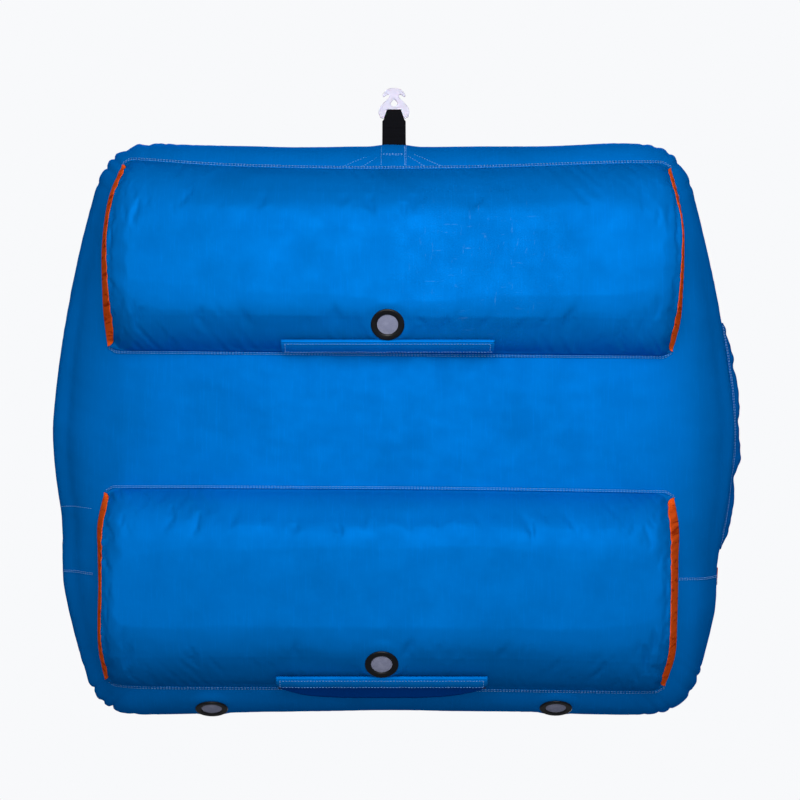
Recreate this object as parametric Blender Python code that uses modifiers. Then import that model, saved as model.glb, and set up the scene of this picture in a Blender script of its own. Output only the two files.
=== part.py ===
"""Towable tube for two riders.

A fabric cover in two halves wraps a broad inflated bladder. Two inflated float pads are sewn
under it, a webbing tow point with a plastic quick connector sits at the front edge, and the
deck carries four hinged grab handles, two rider pads and the inflation valve.

X runs across the tube, -Y is the towed front, +Y is the rear and Z is up. The tube rests on
its two float pads at Z = 0.
"""

import math

import bmesh
import bpy
from mathutils import Matrix, Vector

# Body, metres.
HALF_WIDTH = 0.725
HALF_LENGTH = 0.598
SIDE_BOW = 0.247
REAR_SWELL = 0.024
REAR_SWELL_START = 0.292
REAR_SWELL_END = 0.430
END_FLARE = 0.014
CORNER_POWER = 13.0
EQUATOR = 0.235
HALF_HEIGHT = 0.150
SIDE_POWER = 7.0
EDGE_POWER = 2.2
SEAM_HEIGHT = 0.255
BODY_Y = 0.0515
COVER = 0.0015
OUTLINE_STEPS = 48
BLADDER_PLAN_SHARE = 0.970
BLADDER_HEIGHT_SHARE = 0.895

# Float pads under the body.
PAD_HALF_LENGTH = 0.596
PAD_CORNER = 0.040
PAD_RISE = 0.088
PAD_ROUNDNESS = 2.6
PAD_END_DROP = 0.30
PAD_END = 0.970
PAD_GAP = 0.0022
FRONT_PAD = {"centre": -0.356, "half": 0.204}
REAR_PAD = {"centre": 0.329, "half": 0.210}

# Drains.
DRAIN_RING = 0.034
DRAIN_HOLE = 0.024
DRAIN_BORE = 0.021
BODY_DRAIN_DEPTH = 0.0135
PAD_DRAIN_DEPTH = 0.0098

# Zips.
ZIP_TAPE_WIDTH = 0.018
FLAP_WIDTH = 0.026
FLAP_THICKNESS = 0.0012
SIDE_TRACK_RADIUS = 1.046

# Tow point.
WEBBING = 0.0025
WEBBING_HALF_WIDTH = 0.0255
TOW_HINGE_Y = -0.614
TOW_BAR_Y = -0.674
TOW_ROOT_RADIUS = 0.0040
TOW_BAR_LOOP_RADIUS = 0.0070
CONNECTOR_THICKNESS = 0.0050

# Deck fittings.
HANDLE_Y = -0.300
HANDLE_XS = {"outer_left": -0.470, "inner_left": -0.170, "inner_right": 0.170, "outer_right": 0.470}
GRIP_HEIGHT = 0.038
GRIP_RADIUS = 0.017
VALVE_Y = 0.300

COLOURS = {
    "cover_blue": ((2, 112, 200), 0.62, 0.0),
    "pad_blue": ((2, 108, 196), 0.62, 0.0),
    "trim_orange": ((222, 92, 34), 0.70, 0.0),
    "bladder_pvc": ((168, 186, 200), 0.38, 0.0),
    "webbing_black": ((16, 16, 22), 0.85, 0.0),
    "fitting_black": ((24, 25, 30), 0.50, 0.0),
    "mesh_grey": ((104, 108, 132), 0.80, 0.0),
    "connector_clear": ((226, 226, 232), 0.32, 0.0),
    "zip_black": ((20, 21, 26), 0.60, 0.0),
    "grip_foam": ((26, 27, 31), 0.88, 0.0),
    "deck_foam": ((62, 66, 74), 0.90, 0.0),
    "valve_white": ((232, 234, 236), 0.40, 0.0),
}


def clear_scene():
    for obj in list(bpy.data.objects):
        bpy.data.objects.remove(obj, do_unlink=True)


def new_collection(name):
    collection = bpy.data.collections.new(name)
    bpy.context.scene.collection.children.link(collection)
    return collection


def linear(channel):
    value = channel / 255.0
    if value <= 0.04045:
        return value / 12.92
    return ((value + 0.055) / 1.055) ** 2.4


def make_material(name):
    colour, roughness, metallic = COLOURS[name]
    material = bpy.data.materials.new(name)
    material.use_nodes = True
    shader = material.node_tree.nodes["Principled BSDF"]
    shader.inputs["Base Color"].default_value = tuple(linear(c) for c in colour) + (1.0,)
    shader.inputs["Roughness"].default_value = roughness
    shader.inputs["Metallic"].default_value = metallic
    return material


clear_scene()
PARTS = new_collection("towable_tube")
CUTTERS = new_collection("cutters")
MATERIALS = {name: make_material(name) for name in COLOURS}
ROOT = bpy.data.objects.new("tube_centre", None)
ROOT.location = (0.0, BODY_Y, 0.0)
PARTS.objects.link(ROOT)


# ---------------------------------------------------------------- objects


def add_object(name, mesh, material=None, cutter=False, smooth=True):
    obj = bpy.data.objects.new(name, mesh)
    obj.parent = ROOT
    if smooth:
        for face in mesh.polygons:
            face.use_smooth = True
    if cutter:
        obj.hide_render = True
        obj.display_type = "WIRE"
        CUTTERS.objects.link(obj)
    else:
        mesh.materials.append(MATERIALS[material])
        PARTS.objects.link(obj)
    return obj


def mesh_from(name, points, faces):
    mesh = bpy.data.meshes.new(name)
    mesh.from_pydata([tuple(point) for point in points], [], faces)
    return mesh


def face_outward(mesh):
    work = bmesh.new()
    work.from_mesh(mesh)
    bmesh.ops.recalc_face_normals(work, faces=work.faces[:])
    work.to_mesh(mesh)
    work.free()


def shift_origin(obj, origin):
    """Keeps the shape where it is and moves the object's origin to a joint's axis."""
    obj.data.transform(Matrix.Translation(-Vector(origin)))
    obj.location = origin


def thicken(obj, thickness):
    modifier = obj.modifiers.new("thickness", "SOLIDIFY")
    modifier.thickness = thickness
    modifier.offset = -1.0
    modifier.use_even_offset = False


def cut(obj, cutter):
    modifier = obj.modifiers.new("opening", "BOOLEAN")
    modifier.operation = "DIFFERENCE"
    modifier.solver = "EXACT"
    modifier.object = cutter


def box(name, size, location, rotation, material=None, cutter=False, bevel=0.0):
    mesh = bpy.data.meshes.new(name)
    work = bmesh.new()
    bmesh.ops.create_cube(work, size=1.0, matrix=Matrix.Diagonal((*size, 1.0)))
    work.to_mesh(mesh)
    work.free()
    obj = add_object(name, mesh, material, cutter, smooth=False)
    obj.location = location
    obj.rotation_euler = rotation
    if bevel:
        modifier = obj.modifiers.new("edges", "BEVEL")
        modifier.width = bevel
        modifier.segments = 2
    return obj


def rod(name, radius, height, location, rotation, material=None, cutter=False, steps=32):
    mesh = bpy.data.meshes.new(name)
    work = bmesh.new()
    bmesh.ops.create_cone(
        work, cap_ends=True, segments=steps, radius1=radius, radius2=radius, depth=height
    )
    work.to_mesh(mesh)
    work.free()
    obj = add_object(name, mesh, material, cutter, smooth=False)
    obj.location = location
    obj.rotation_euler = rotation
    return obj


def turned(name, profile, location, rotation, material, steps=28, closed=True):
    """Turns a profile of (radius, height) points about its own Z axis."""
    count = len(profile)
    edges = [(i, i + 1) for i in range(count - 1)]
    if closed:
        edges.append((count - 1, 0))
    mesh = bpy.data.meshes.new(name)
    mesh.from_pydata([(radius, 0.0, height) for radius, height in profile], edges, [])
    obj = add_object(name, mesh, material)
    modifier = obj.modifiers.new("turn", "SCREW")
    modifier.axis = "Z"
    modifier.steps = steps
    modifier.render_steps = steps
    modifier.use_merge_vertices = True
    modifier.merge_threshold = 0.00001
    modifier.use_smooth_shade = True
    obj.location = location
    obj.rotation_euler = rotation
    return obj


def loft(name, rings, material, descending, start_point=None, end_point=None):
    """Joins closed rings of equal length, with an optional point that closes each end."""
    size = len(rings[0])
    points = [point for ring in rings for point in ring]
    faces = []
    for i in range(len(rings) - 1):
        for j in range(size):
            k = (j + 1) % size
            quad = (i * size + j, i * size + k, (i + 1) * size + k, (i + 1) * size + j)
            faces.append(quad[::-1] if descending else quad)
    if start_point is not None:
        points.append(start_point)
        tip = len(points) - 1
        for j in range(size):
            k = (j + 1) % size
            faces.append((tip, j, k) if descending else (tip, k, j))
    if end_point is not None:
        points.append(end_point)
        tip = len(points) - 1
        last = (len(rings) - 1) * size
        for j in range(size):
            k = (j + 1) % size
            faces.append((last + j, tip, last + k) if descending else (last + k, tip, last + j))
    return add_object(name, mesh_from(name, points, faces), material)


def sheet(name, rows, material, thickness, flip=False):
    """A grid of points given a thickness on its inner side."""
    size = len(rows[0])
    points = [point for row in rows for point in row]
    faces = []
    for i in range(len(rows) - 1):
        for j in range(size - 1):
            quad = (i * size + j, i * size + j + 1, (i + 1) * size + j + 1, (i + 1) * size + j)
            faces.append(quad[::-1] if flip else quad)
    obj = add_object(name, mesh_from(name, points, faces), material)
    thicken(obj, thickness)
    return obj


def strap(name, centres, side, half_widths, thickness, material):
    """A flat band along a path; side is the direction of its width."""
    side = Vector(side).normalized()
    centres = [Vector(centre) for centre in centres]
    points = []
    for i, centre in enumerate(centres):
        before = centres[max(i - 1, 0)]
        after = centres[min(i + 1, len(centres) - 1)]
        out = (after - before).normalized().cross(side).normalized() * (thickness / 2)
        across = side * half_widths[i]
        points += [centre + out - across, centre + out + across]
        points += [centre - out + across, centre - out - across]
    faces = []
    for i in range(len(centres) - 1):
        for j in range(4):
            k = (j + 1) % 4
            faces.append((i * 4 + j, i * 4 + k, i * 4 + 4 + k, i * 4 + 4 + j))
    last = (len(centres) - 1) * 4
    faces.append((3, 2, 1, 0))
    faces.append((last, last + 1, last + 2, last + 3))
    mesh = mesh_from(name, points, faces)
    face_outward(mesh)
    return add_object(name, mesh, material, smooth=False)


# ---------------------------------------------------------------- body surface


def side_limit(y, rear):
    """Half width of the body this far in front of or behind its middle."""
    limit = HALF_WIDTH - SIDE_BOW * y**1.5
    if rear:
        share = (y - REAR_SWELL_START) / (REAR_SWELL_END - REAR_SWELL_START)
        share = min(max(share, 0.0), 1.0)
        limit += REAR_SWELL * share * share * (3.0 - 2.0 * share)
    return limit


def outline_radius(angle):
    """Distance from the body's centre to its plan outline in one direction."""
    across = abs(math.cos(angle))
    along = abs(math.sin(angle))
    rear = math.sin(angle) > 0.0
    low = 0.3
    high = 1.1
    for _ in range(40):
        middle = (low + high) / 2
        x = middle * across
        y = middle * along
        x_limit = side_limit(y, rear)
        y_limit = HALF_LENGTH + END_FLARE * (x / 0.55) ** 2
        if (x / x_limit) ** CORNER_POWER + (y / y_limit) ** CORNER_POWER < 1.0:
            low = middle
        else:
            high = middle
    return (low + high) / 2


def outline_points(count):
    """Points round the plan outline, closer together where it bends."""
    dense = 1440
    ring = []
    for i in range(dense):
        angle = 2 * math.pi * i / dense
        radius = outline_radius(angle)
        ring.append(Vector((radius * math.cos(angle), radius * math.sin(angle))))
    lengths = [0.0]
    for i in range(dense):
        here = ring[(i + 1) % dense] - ring[i]
        after = ring[(i + 2) % dense] - ring[(i + 1) % dense]
        lengths.append(lengths[-1] + here.length + 0.35 * here.angle(after))
    points = []
    place = 0
    for i in range(count):
        target = lengths[-1] * i / count
        while lengths[place + 1] < target:
            place += 1
        share = (target - lengths[place]) / (lengths[place + 1] - lengths[place])
        points.append(ring[place].lerp(ring[(place + 1) % dense], share))
    return points


OUTLINE = outline_points(OUTLINE_STEPS)


def side_share(height):
    """Share of the full plan size at a height measured from the equator."""
    return (1.0 - (abs(height) / HALF_HEIGHT) ** EDGE_POWER) ** (1.0 / SIDE_POWER)


def plan_share(x, y):
    if x == 0.0 and y == 0.0:
        return 0.0
    return math.hypot(x, y) / outline_radius(math.atan2(y, x))


def skin_drop(x, y):
    """Height of the skin above or below the equator at a plan point."""
    share = min(plan_share(x, y), 0.9999)
    return HALF_HEIGHT * (1.0 - share**SIDE_POWER) ** (1.0 / EDGE_POWER)


def lower_skin(x, y):
    return EQUATOR - skin_drop(x, y)


def upper_skin(x, y):
    return EQUATOR + skin_drop(x, y)


def ring_at(share, height, outset=0.0):
    points = []
    for i, point in enumerate(OUTLINE):
        before = OUTLINE[i - 1]
        after = OUTLINE[(i + 1) % len(OUTLINE)]
        along = (after - before).normalized()
        out = Vector((along.y, -along.x))
        spot = point * share + out * outset
        points.append((spot.x, spot.y, height))
    return points


def surface_normal(surface, x, y, downward):
    """Outward normal of a height surface, from finite differences."""
    step = 0.002
    slope_x = (surface(x + step, y) - surface(x - step, y)) / (2 * step)
    slope_y = (surface(x, y + step) - surface(x, y - step)) / (2 * step)
    normal = Vector((-slope_x, -slope_y, 1.0)).normalized()
    return -normal if downward else normal


def turn_to(normal):
    return Vector((0.0, 0.0, 1.0)).rotation_difference(normal).to_euler()


# ---------------------------------------------------------------- covers and bladder


def build_covers():
    heights = (0.030, 0.058, 0.083, 0.105, 0.124, 0.138, 0.1465)
    inner_shares = (0.45,)

    rings = [ring_at(side_share(SEAM_HEIGHT - EQUATOR), SEAM_HEIGHT - 0.0003)]
    rings.append(ring_at(1.0, EQUATOR))
    for height in heights:
        rings.append(ring_at(side_share(height), EQUATOR - height))
    for share in inner_shares:
        rings.append(ring_at(share, EQUATOR - HALF_HEIGHT + 0.0004))
    low = (0.0, 0.0, EQUATOR - HALF_HEIGHT)
    bottom = loft("bottom_cover", rings, "cover_blue", True, end_point=low)
    thicken(bottom, COVER)

    rings = [ring_at(side_share(SEAM_HEIGHT - EQUATOR), SEAM_HEIGHT + 0.0003)]
    for height in heights:
        rings.append(ring_at(side_share(height), EQUATOR + height))
    for share in inner_shares:
        rings.append(ring_at(share, EQUATOR + HALF_HEIGHT - 0.0004))
    high = (0.0, 0.0, EQUATOR + HALF_HEIGHT)
    top = loft("top_cover", rings, "cover_blue", False, end_point=high)
    thicken(top, COVER)
    return bottom, top


def build_piping():
    """Round cord sewn into the seam where the two covers meet."""
    radius = 0.0032
    share = side_share(SEAM_HEIGHT - EQUATOR)
    offset = radius + 0.0010
    rings = []
    for k in range(6):
        angle = math.pi * k / 3
        outset = offset + radius * math.cos(angle)
        rings.append(ring_at(share, SEAM_HEIGHT + radius * math.sin(angle), outset))
    size = len(OUTLINE)
    points = [point for ring in rings for point in ring]
    faces = []
    for i in range(6):
        above = (i + 1) % 6
        for j in range(size):
            k = (j + 1) % size
            faces.append((i * size + j, i * size + k, above * size + k, above * size + j))
    mesh = mesh_from("cover_piping", points, faces)
    face_outward(mesh)
    add_object("cover_piping", mesh, "trim_orange")


def build_main_bladder():
    scale = BLADDER_PLAN_SHARE
    height_scale = BLADDER_HEIGHT_SHARE
    heights = (-0.146, -0.118, -0.075, 0.0, 0.075, 0.118, 0.146)
    rings = []
    for height in heights[::-1]:
        rings.append(ring_at(side_share(height) * scale, EQUATOR + height * height_scale))
    top = (0.0, 0.0, EQUATOR + HALF_HEIGHT * height_scale)
    low = (0.0, 0.0, EQUATOR - HALF_HEIGHT * height_scale)
    bladder = loft("main_bladder", rings, "bladder_pvc", True, top, low)
    thicken(bladder, COVER)
    return bladder


# ---------------------------------------------------------------- float pads


def pad_half_width(pad, x):
    overrun = abs(x) - (PAD_HALF_LENGTH - PAD_CORNER)
    if overrun <= 0.0:
        return pad["half"]
    return pad["half"] - PAD_CORNER + math.sqrt(max(PAD_CORNER**2 - overrun**2, 0.0))


def pad_skin(pad, x, y):
    share = min(abs(y - pad["centre"]) / pad_half_width(pad, x), 1.0)
    end = 1.0 - PAD_END_DROP * (abs(x) / PAD_HALF_LENGTH) ** 8
    rise = PAD_RISE * (1.0 - share**PAD_ROUNDNESS) ** 0.6 * end
    return max(lower_skin(x, y) - PAD_GAP - rise, 0.0)


def build_pad_cover(name, pad):
    along = 18
    across = 12
    rows = []
    for i in range(along + 1):
        x = PAD_HALF_LENGTH * PAD_END * math.sin(math.pi / 2 * (2 * i / along - 1))
        row = []
        for j in range(across + 1):
            share = math.sin(math.pi / 2 * (2 * j / across - 1))
            y = pad["centre"] + share * pad_half_width(pad, x)
            row.append((x, y, pad_skin(pad, x, y)))
        rows.append(row)
    return sheet(name, rows, "pad_blue", COVER)


def build_gusset(name, pad, side):
    """Crescent of contrast fabric that closes one short end of a pad."""
    start = PAD_HALF_LENGTH * PAD_END
    depth = PAD_HALF_LENGTH - start
    rows = []
    for i in range(5):
        turn = math.pi / 2 * i / 4
        row = []
        for j in range(13):
            share = 0.95 * math.sin(math.pi / 2 * (j / 6 - 1))
            x = start + 0.0009 + depth * math.sin(turn)
            y = pad["centre"] + share * pad_half_width(pad, start) * (1.0 - 0.05 * i / 4)
            edge = pad_skin(pad, start, pad["centre"] + share * pad_half_width(pad, start))
            foot = lower_skin(x, y) - 0.0030
            row.append((side * x, y, edge + (foot - edge) * (1.0 - math.cos(turn))))
        rows.append(row)
    sheet(name, rows, "trim_orange", COVER, flip=side < 0)


def build_pad_bladder(name, pad, valve_x):
    """Closed pillow inside a pad cover, opened only where its valve sits."""
    half_x = PAD_HALF_LENGTH - 0.060
    half_y = pad["half"] - 0.040
    along = 10
    across = 6
    lower = []
    upper = []
    for i in range(along + 1):
        x = half_x * math.sin(math.pi / 2 * (2 * i / along - 1))
        for j in range(across + 1):
            y = pad["centre"] + half_y * math.sin(math.pi / 2 * (2 * j / across - 1))
            lower.append((x, y, pad_skin(pad, x, y) + 0.014))
            upper.append((x, y, lower_skin(x, y) - 0.006))
    size = across + 1
    count = len(lower)
    faces = []
    for i in range(along):
        for j in range(across):
            a = i * size + j
            faces.append((a, a + 1, a + size + 1, a + size))
            faces.append((count + a + size, count + a + size + 1, count + a + 1, count + a))
    rim = [i * size for i in range(along + 1)]
    rim += [along * size + j for j in range(1, size)]
    rim += [i * size + across for i in range(along - 1, -1, -1)]
    rim += [j for j in range(across - 1, 0, -1)]
    for i, a in enumerate(rim):
        b = rim[(i + 1) % len(rim)]
        faces.append((a, b, count + b, count + a))
    mesh = mesh_from(name, lower + upper, faces)
    face_outward(mesh)
    obj = add_object(name, mesh, "bladder_pvc")
    thicken(obj, COVER)

    spot_y = pad["centre"]
    height = lower_skin(valve_x, spot_y) - 0.006
    hole = rod(name + "_hole", 0.0103, 0.020, (valve_x, spot_y, height), (0, 0, 0), cutter=True)
    cut(obj, hole)
    profile = [(0.0100, 0.0040), (0.0100, -0.0080), (0.0070, -0.0080), (0.0070, 0.0040)]
    turned(name.replace("bladder", "valve"), profile, (valve_x, spot_y, height), (0, 0, 0), "valve_white", 20)


# ---------------------------------------------------------------- drains


def build_drain(prefix, cover, spot, normal, depth):
    """Ring, grey mesh and backing ring clamped round one opening in a cover."""
    turn = turn_to(normal)
    hole = rod(prefix + "_hole", DRAIN_HOLE, 0.030, spot, turn, cutter=True)
    cut(cover, hole)
    ring = [
        (DRAIN_RING, 0.0022),
        (DRAIN_RING, 0.0006),
        (DRAIN_HOLE - 0.0004, 0.0006),
        (DRAIN_HOLE - 0.0004, -depth),
        (DRAIN_BORE, -depth),
        (DRAIN_BORE, 0.0030),
        (DRAIN_RING - 0.003, 0.0030),
    ]
    turned(prefix + "_ring", ring, spot, turn, "fitting_black", 24)
    mesh_sheet = [
        (0.0, 0.0008),
        (DRAIN_BORE - 0.0004, 0.0008),
        (DRAIN_BORE - 0.0004, 0.0),
        (0.0, 0.0),
    ]
    turned(prefix + "_mesh", mesh_sheet, spot, turn, "mesh_grey", 24, closed=False)
    backing = [
        (0.0280, -depth + 0.0022),
        (0.0280, -depth + 0.0004),
        (DRAIN_HOLE, -depth + 0.0004),
        (DRAIN_HOLE, -depth + 0.0022),
    ]
    turned(prefix + "_backing", backing, spot, turn, "fitting_black", 24)


# ---------------------------------------------------------------- pad zips


def zip_frame(pad, y, toward_seam):
    """Spot on a pad's slope, the slope's direction towards the seam, and its outward normal."""
    spot = Vector((0.0, y, pad_skin(pad, 0.0, y)))
    normal = surface_normal(lambda a, b: pad_skin(pad, a, b), 0.0, y, True)
    down_slope = Vector((0.0, -normal.z, normal.y))
    if down_slope.y * toward_seam < 0:
        down_slope = -down_slope
    return spot, down_slope, normal


def build_pad_zip(prefix, pad, cover, y, toward_seam, x_range, gape):
    spot, slope, normal = zip_frame(pad, y, toward_seam)
    centre_x = sum(x_range) / 2
    half = (x_range[1] - x_range[0]) / 2
    spot.x = centre_x
    tilt = math.atan2(slope.z, slope.y) if slope.y > 0 else math.atan2(-slope.z, -slope.y)
    turn = (tilt, 0.0, 0.0)

    slit = box(prefix + "_zip_slit", (2 * half - 0.03, 0.005, 0.03), spot, turn, cutter=True)
    cut(cover, slit)
    tape_spot = spot + normal * 0.0011
    tape_size = (2 * half - 0.006, ZIP_TAPE_WIDTH, 0.0010)
    box(prefix + "_zip_tape", tape_size, tape_spot, turn, "zip_black")

    slider_spot = spot + normal * 0.0035
    slider_spot.x = centre_x - half + 0.020
    box(prefix + "_zip_slider", (0.016, 0.009, 0.0030), slider_spot, turn, "fitting_black", bevel=0.0006)

    lift = 0.0068
    root = spot - slope * (FLAP_WIDTH / 2) + normal * lift
    root.x = centre_x
    steps = 5
    centres = []
    for i in range(steps + 1):
        share = i / steps
        bulge = 0.0016 * math.sin(math.pi * share)
        centres.append(root + slope * (FLAP_WIDTH * share) + normal * bulge)
    flap = strap(
        prefix + "_zip_flap", centres, (1, 0, 0), [half] * (steps + 1), FLAP_THICKNESS, "pad_blue"
    )
    shift_origin(flap, root)
    if gape:
        flap.data.transform(Matrix.Rotation(gape, 4, "X"))


# ---------------------------------------------------------------- side zip


def track_point(angle, radius, height):
    centre = HALF_WIDTH - SIDE_TRACK_RADIUS
    return (centre + radius * math.cos(angle), radius * math.sin(angle), height)


def arc_sweep(name, section, start_y, end_y, steps, material):
    """Sweeps a closed section of (radius, height) points round the side track's centre."""
    start = math.asin(start_y / SIDE_TRACK_RADIUS)
    end = math.asin(end_y / SIDE_TRACK_RADIUS)
    size = len(section)
    points = []
    for i in range(steps + 1):
        angle = start + (end - start) * i / steps
        points += [track_point(angle, radius, height) for radius, height in section]
    faces = []
    for i in range(steps):
        for j in range(size):
            k = (j + 1) % size
            faces.append((i * size + j, i * size + k, (i + 1) * size + k, (i + 1) * size + j))
    faces.append(tuple(range(size)))
    faces.append(tuple(steps * size + j for j in reversed(range(size))))
    mesh = mesh_from(name, points, faces)
    face_outward(mesh)
    return add_object(name, mesh, material, smooth=False)


def side_section(height, offset):
    """Radius and height of a spot set off from the body's side at a height."""
    rise = height - EQUATOR
    step = 0.002
    slope = (side_share(rise + step) - side_share(rise - step)) * HALF_WIDTH / (2 * step)
    out = Vector((1.0, -slope)).normalized()
    drop = HALF_WIDTH * (1.0 - side_share(rise))
    return (SIDE_TRACK_RADIUS - drop + out.x * offset, height + out.y * offset)


def build_side_zip():
    low = 0.2740
    high = 0.2960
    middle = (low + high) / 2
    section = [
        side_section(low, 0.0010),
        side_section(low, 0.0020),
        side_section(middle - 0.0025, 0.0022),
        side_section(middle - 0.0020, 0.0036),
        side_section(middle + 0.0020, 0.0036),
        side_section(middle + 0.0025, 0.0022),
        side_section(high, 0.0020),
        side_section(high, 0.0010),
    ]
    arc_sweep("side_zip_tape", section, -0.205, 0.262, 16, "zip_black")

    inner = side_section(middle, 0.0040)
    outer = side_section(middle, 0.0082)
    rise = Vector((outer[0] - inner[0], outer[1] - inner[1])).normalized()
    across = Vector((-rise.y, rise.x))
    section = []
    for out, over in ((0.0, -0.0045), (0.0035, -0.0045), (0.0042, 0.0), (0.0035, 0.0045), (0.0, 0.0045)):
        section.append(
            (inner[0] + rise.x * out + across.x * over, inner[1] + rise.y * out + across.y * over)
        )
    slider = arc_sweep("side_zip_slider", section, 0.2360, 0.2500, 3, "fitting_black")
    shift_origin(slider, (HALF_WIDTH - SIDE_TRACK_RADIUS, 0.0, EQUATOR))

    angle = math.asin(0.2430 / SIDE_TRACK_RADIUS)
    radius, height = side_section(middle - 0.0080, 0.0060)
    pivot = Vector(track_point(angle, radius, height))
    along = Vector((-math.sin(angle), math.cos(angle), 0.0))
    end_radius, end_height = side_section(0.2470, 0.0090)
    end = Vector(track_point(angle, end_radius, end_height))
    centres = [pivot.lerp(end, share) for share in (0.0, 0.25, 0.75, 1.0)]
    pull = strap("side_zip_pull", centres, along, [0.0022, 0.0036, 0.0036, 0.0022], 0.0012, "fitting_black")
    shift_origin(pull, pivot)


def build_side_flap():
    """Loose fabric strip sewn above the side zip that hangs over it."""
    spine = [
        side_section(0.3180, 0.0035),
        side_section(0.3040, 0.0100),
        (SIDE_TRACK_RADIUS + 0.0105, 0.2800),
        (SIDE_TRACK_RADIUS + 0.0115, 0.2550),
        (SIDE_TRACK_RADIUS + 0.0105, 0.2220),
    ]
    inner = [(radius - FLAP_THICKNESS, height) for radius, height in spine]
    section = spine + inner[::-1]
    flap = arc_sweep("side_zip_flap", section, -0.225, 0.282, 14, "cover_blue")
    hinge = (HALF_WIDTH - 0.079, 0.0, 0.3225)
    shift_origin(flap, hinge)


# ---------------------------------------------------------------- tow point


def build_tow_tail(cover):
    """Sewn end of the tow webbing, inside the cover, leaving through a slot at the front."""
    slot = box("tow_slot", (0.056, 0.030, 0.0072), (0, -HALF_LENGTH, EQUATOR), (0, 0, 0), cutter=True)
    cut(cover, slot)
    centres = [
        (0.0, -HALF_LENGTH - 0.0110, EQUATOR),
        (0.0, -HALF_LENGTH + 0.0015, EQUATOR),
        (0.0, -HALF_LENGTH + 0.0048, EQUATOR - 0.0040),
    ]
    for height in (0.022, 0.045, 0.068, 0.090, 0.108):
        step = 0.002
        y = -HALF_LENGTH * side_share(height)
        slope = -HALF_LENGTH * (side_share(height + step) - side_share(height - step)) / (2 * step)
        inward = Vector((1.0, slope)).normalized() * 0.0052
        centres.append((0.0, y + inward.x, EQUATOR - height + inward.y))
    widths = [WEBBING_HALF_WIDTH] * len(centres)
    strap("tow_webbing_tail", centres, (1, 0, 0), widths, WEBBING, "webbing_black")


def half_width_at(y):
    """Half width of the tow loop: full at the body, folded narrow where it holds the bar."""
    narrow = 0.0150
    start = TOW_BAR_Y + 0.020
    share = (y - start) / (TOW_HINGE_Y - start)
    share = min(max(share, 0.0), 1.0)
    return narrow + (WEBBING_HALF_WIDTH - narrow) * share


def build_tow_strap():
    """Closed webbing loop from the hinge line at the cover to the connector's bar."""
    outer = []
    inner = []
    for i in range(7):
        angle = -math.pi / 2 + math.pi * i / 6
        c = math.cos(angle)
        s = math.sin(angle)
        outer.append((TOW_HINGE_Y + TOW_ROOT_RADIUS * c, EQUATOR + TOW_ROOT_RADIUS * s))
        small = TOW_ROOT_RADIUS - WEBBING
        inner.append((TOW_HINGE_Y + small * c, EQUATOR + small * s))
    for i in range(9):
        angle = math.pi / 2 + math.pi * i / 8
        c = math.cos(angle)
        s = math.sin(angle)
        outer.append((TOW_BAR_Y + TOW_BAR_LOOP_RADIUS * c, EQUATOR + TOW_BAR_LOOP_RADIUS * s))
        small = TOW_BAR_LOOP_RADIUS - WEBBING
        inner.append((TOW_BAR_Y + small * c, EQUATOR + small * s))
    points = []
    for (y, z), (inner_y, inner_z) in zip(outer, inner):
        w = half_width_at(y)
        points += [(-w, y, z), (w, y, z), (w, inner_y, inner_z), (-w, inner_y, inner_z)]
    count = len(outer)
    faces = []
    for i in range(count):
        after = (i + 1) % count
        for j in range(4):
            k = (j + 1) % 4
            faces.append((i * 4 + j, i * 4 + k, after * 4 + k, after * 4 + j))
    mesh = mesh_from("tow_strap", points, faces)
    face_outward(mesh)
    loop = add_object("tow_strap", mesh, "webbing_black", smooth=False)
    shift_origin(loop, (0.0, TOW_HINGE_Y, EQUATOR))


def mirrored(half):
    """Completes an outline from its right half, given from front to back."""
    return half + [(-x, y) for x, y in reversed(half)]


def build_connector():
    """Flat quick connector: a bar in the webbing, two lobes, a neck and a hooked head."""
    curve = bpy.data.curves.new("tow_connector_outline", "CURVE")
    curve.dimensions = "2D"
    curve.fill_mode = "BOTH"
    curve.extrude = CONNECTOR_THICKNESS / 2
    half = [
        (0.0060, 0.0520),
        (0.0160, 0.0510),
        (0.0225, 0.0470),
        (0.0250, 0.0400),
        (0.0245, 0.0350),
        (0.0205, 0.0340),
        (0.0190, 0.0385),
        (0.0150, 0.0410),
        (0.0115, 0.0385),
        (0.0108, 0.0335),
        (0.0150, 0.0270),
        (0.0240, 0.0200),
        (0.0305, 0.0110),
        (0.0330, 0.0000),
        (0.0320, -0.0100),
        (0.0285, -0.0160),
        (0.0225, -0.0165),
        (0.0195, -0.0120),
        (0.0190, -0.0034),
    ]
    window = [(0.0180, 0.0034), (0.0180, 0.0090), (0.0150, 0.0112)]
    hole = []
    for i in range(20):
        angle = 2 * math.pi * i / 20
        hole.append((0.0078 * math.cos(angle), 0.0225 + 0.0078 * math.sin(angle)))
    for outline in (mirrored(half), mirrored(window), hole):
        spline = curve.splines.new("POLY")
        spline.points.add(len(outline) - 1)
        spline.use_cyclic_u = True
        for point, (x, y) in zip(spline.points, outline):
            point.co = (x, -y, 0.0, 1.0)
    blank = bpy.data.objects.new("tow_connector_blank", curve)
    PARTS.objects.link(blank)
    bpy.context.view_layer.update()
    evaluated = blank.evaluated_get(bpy.context.evaluated_depsgraph_get())
    mesh = bpy.data.meshes.new_from_object(evaluated)
    bpy.data.objects.remove(blank, do_unlink=True)
    work = bmesh.new()
    work.from_mesh(mesh)
    bmesh.ops.remove_doubles(work, verts=work.verts[:], dist=0.00001)
    bmesh.ops.recalc_face_normals(work, faces=work.faces[:])
    work.to_mesh(mesh)
    work.free()
    mesh.materials.clear()
    connector = add_object("tow_connector", mesh, "connector_clear", smooth=False)
    connector.location = (0.0, TOW_BAR_Y, EQUATOR)


# ---------------------------------------------------------------- deck


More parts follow.
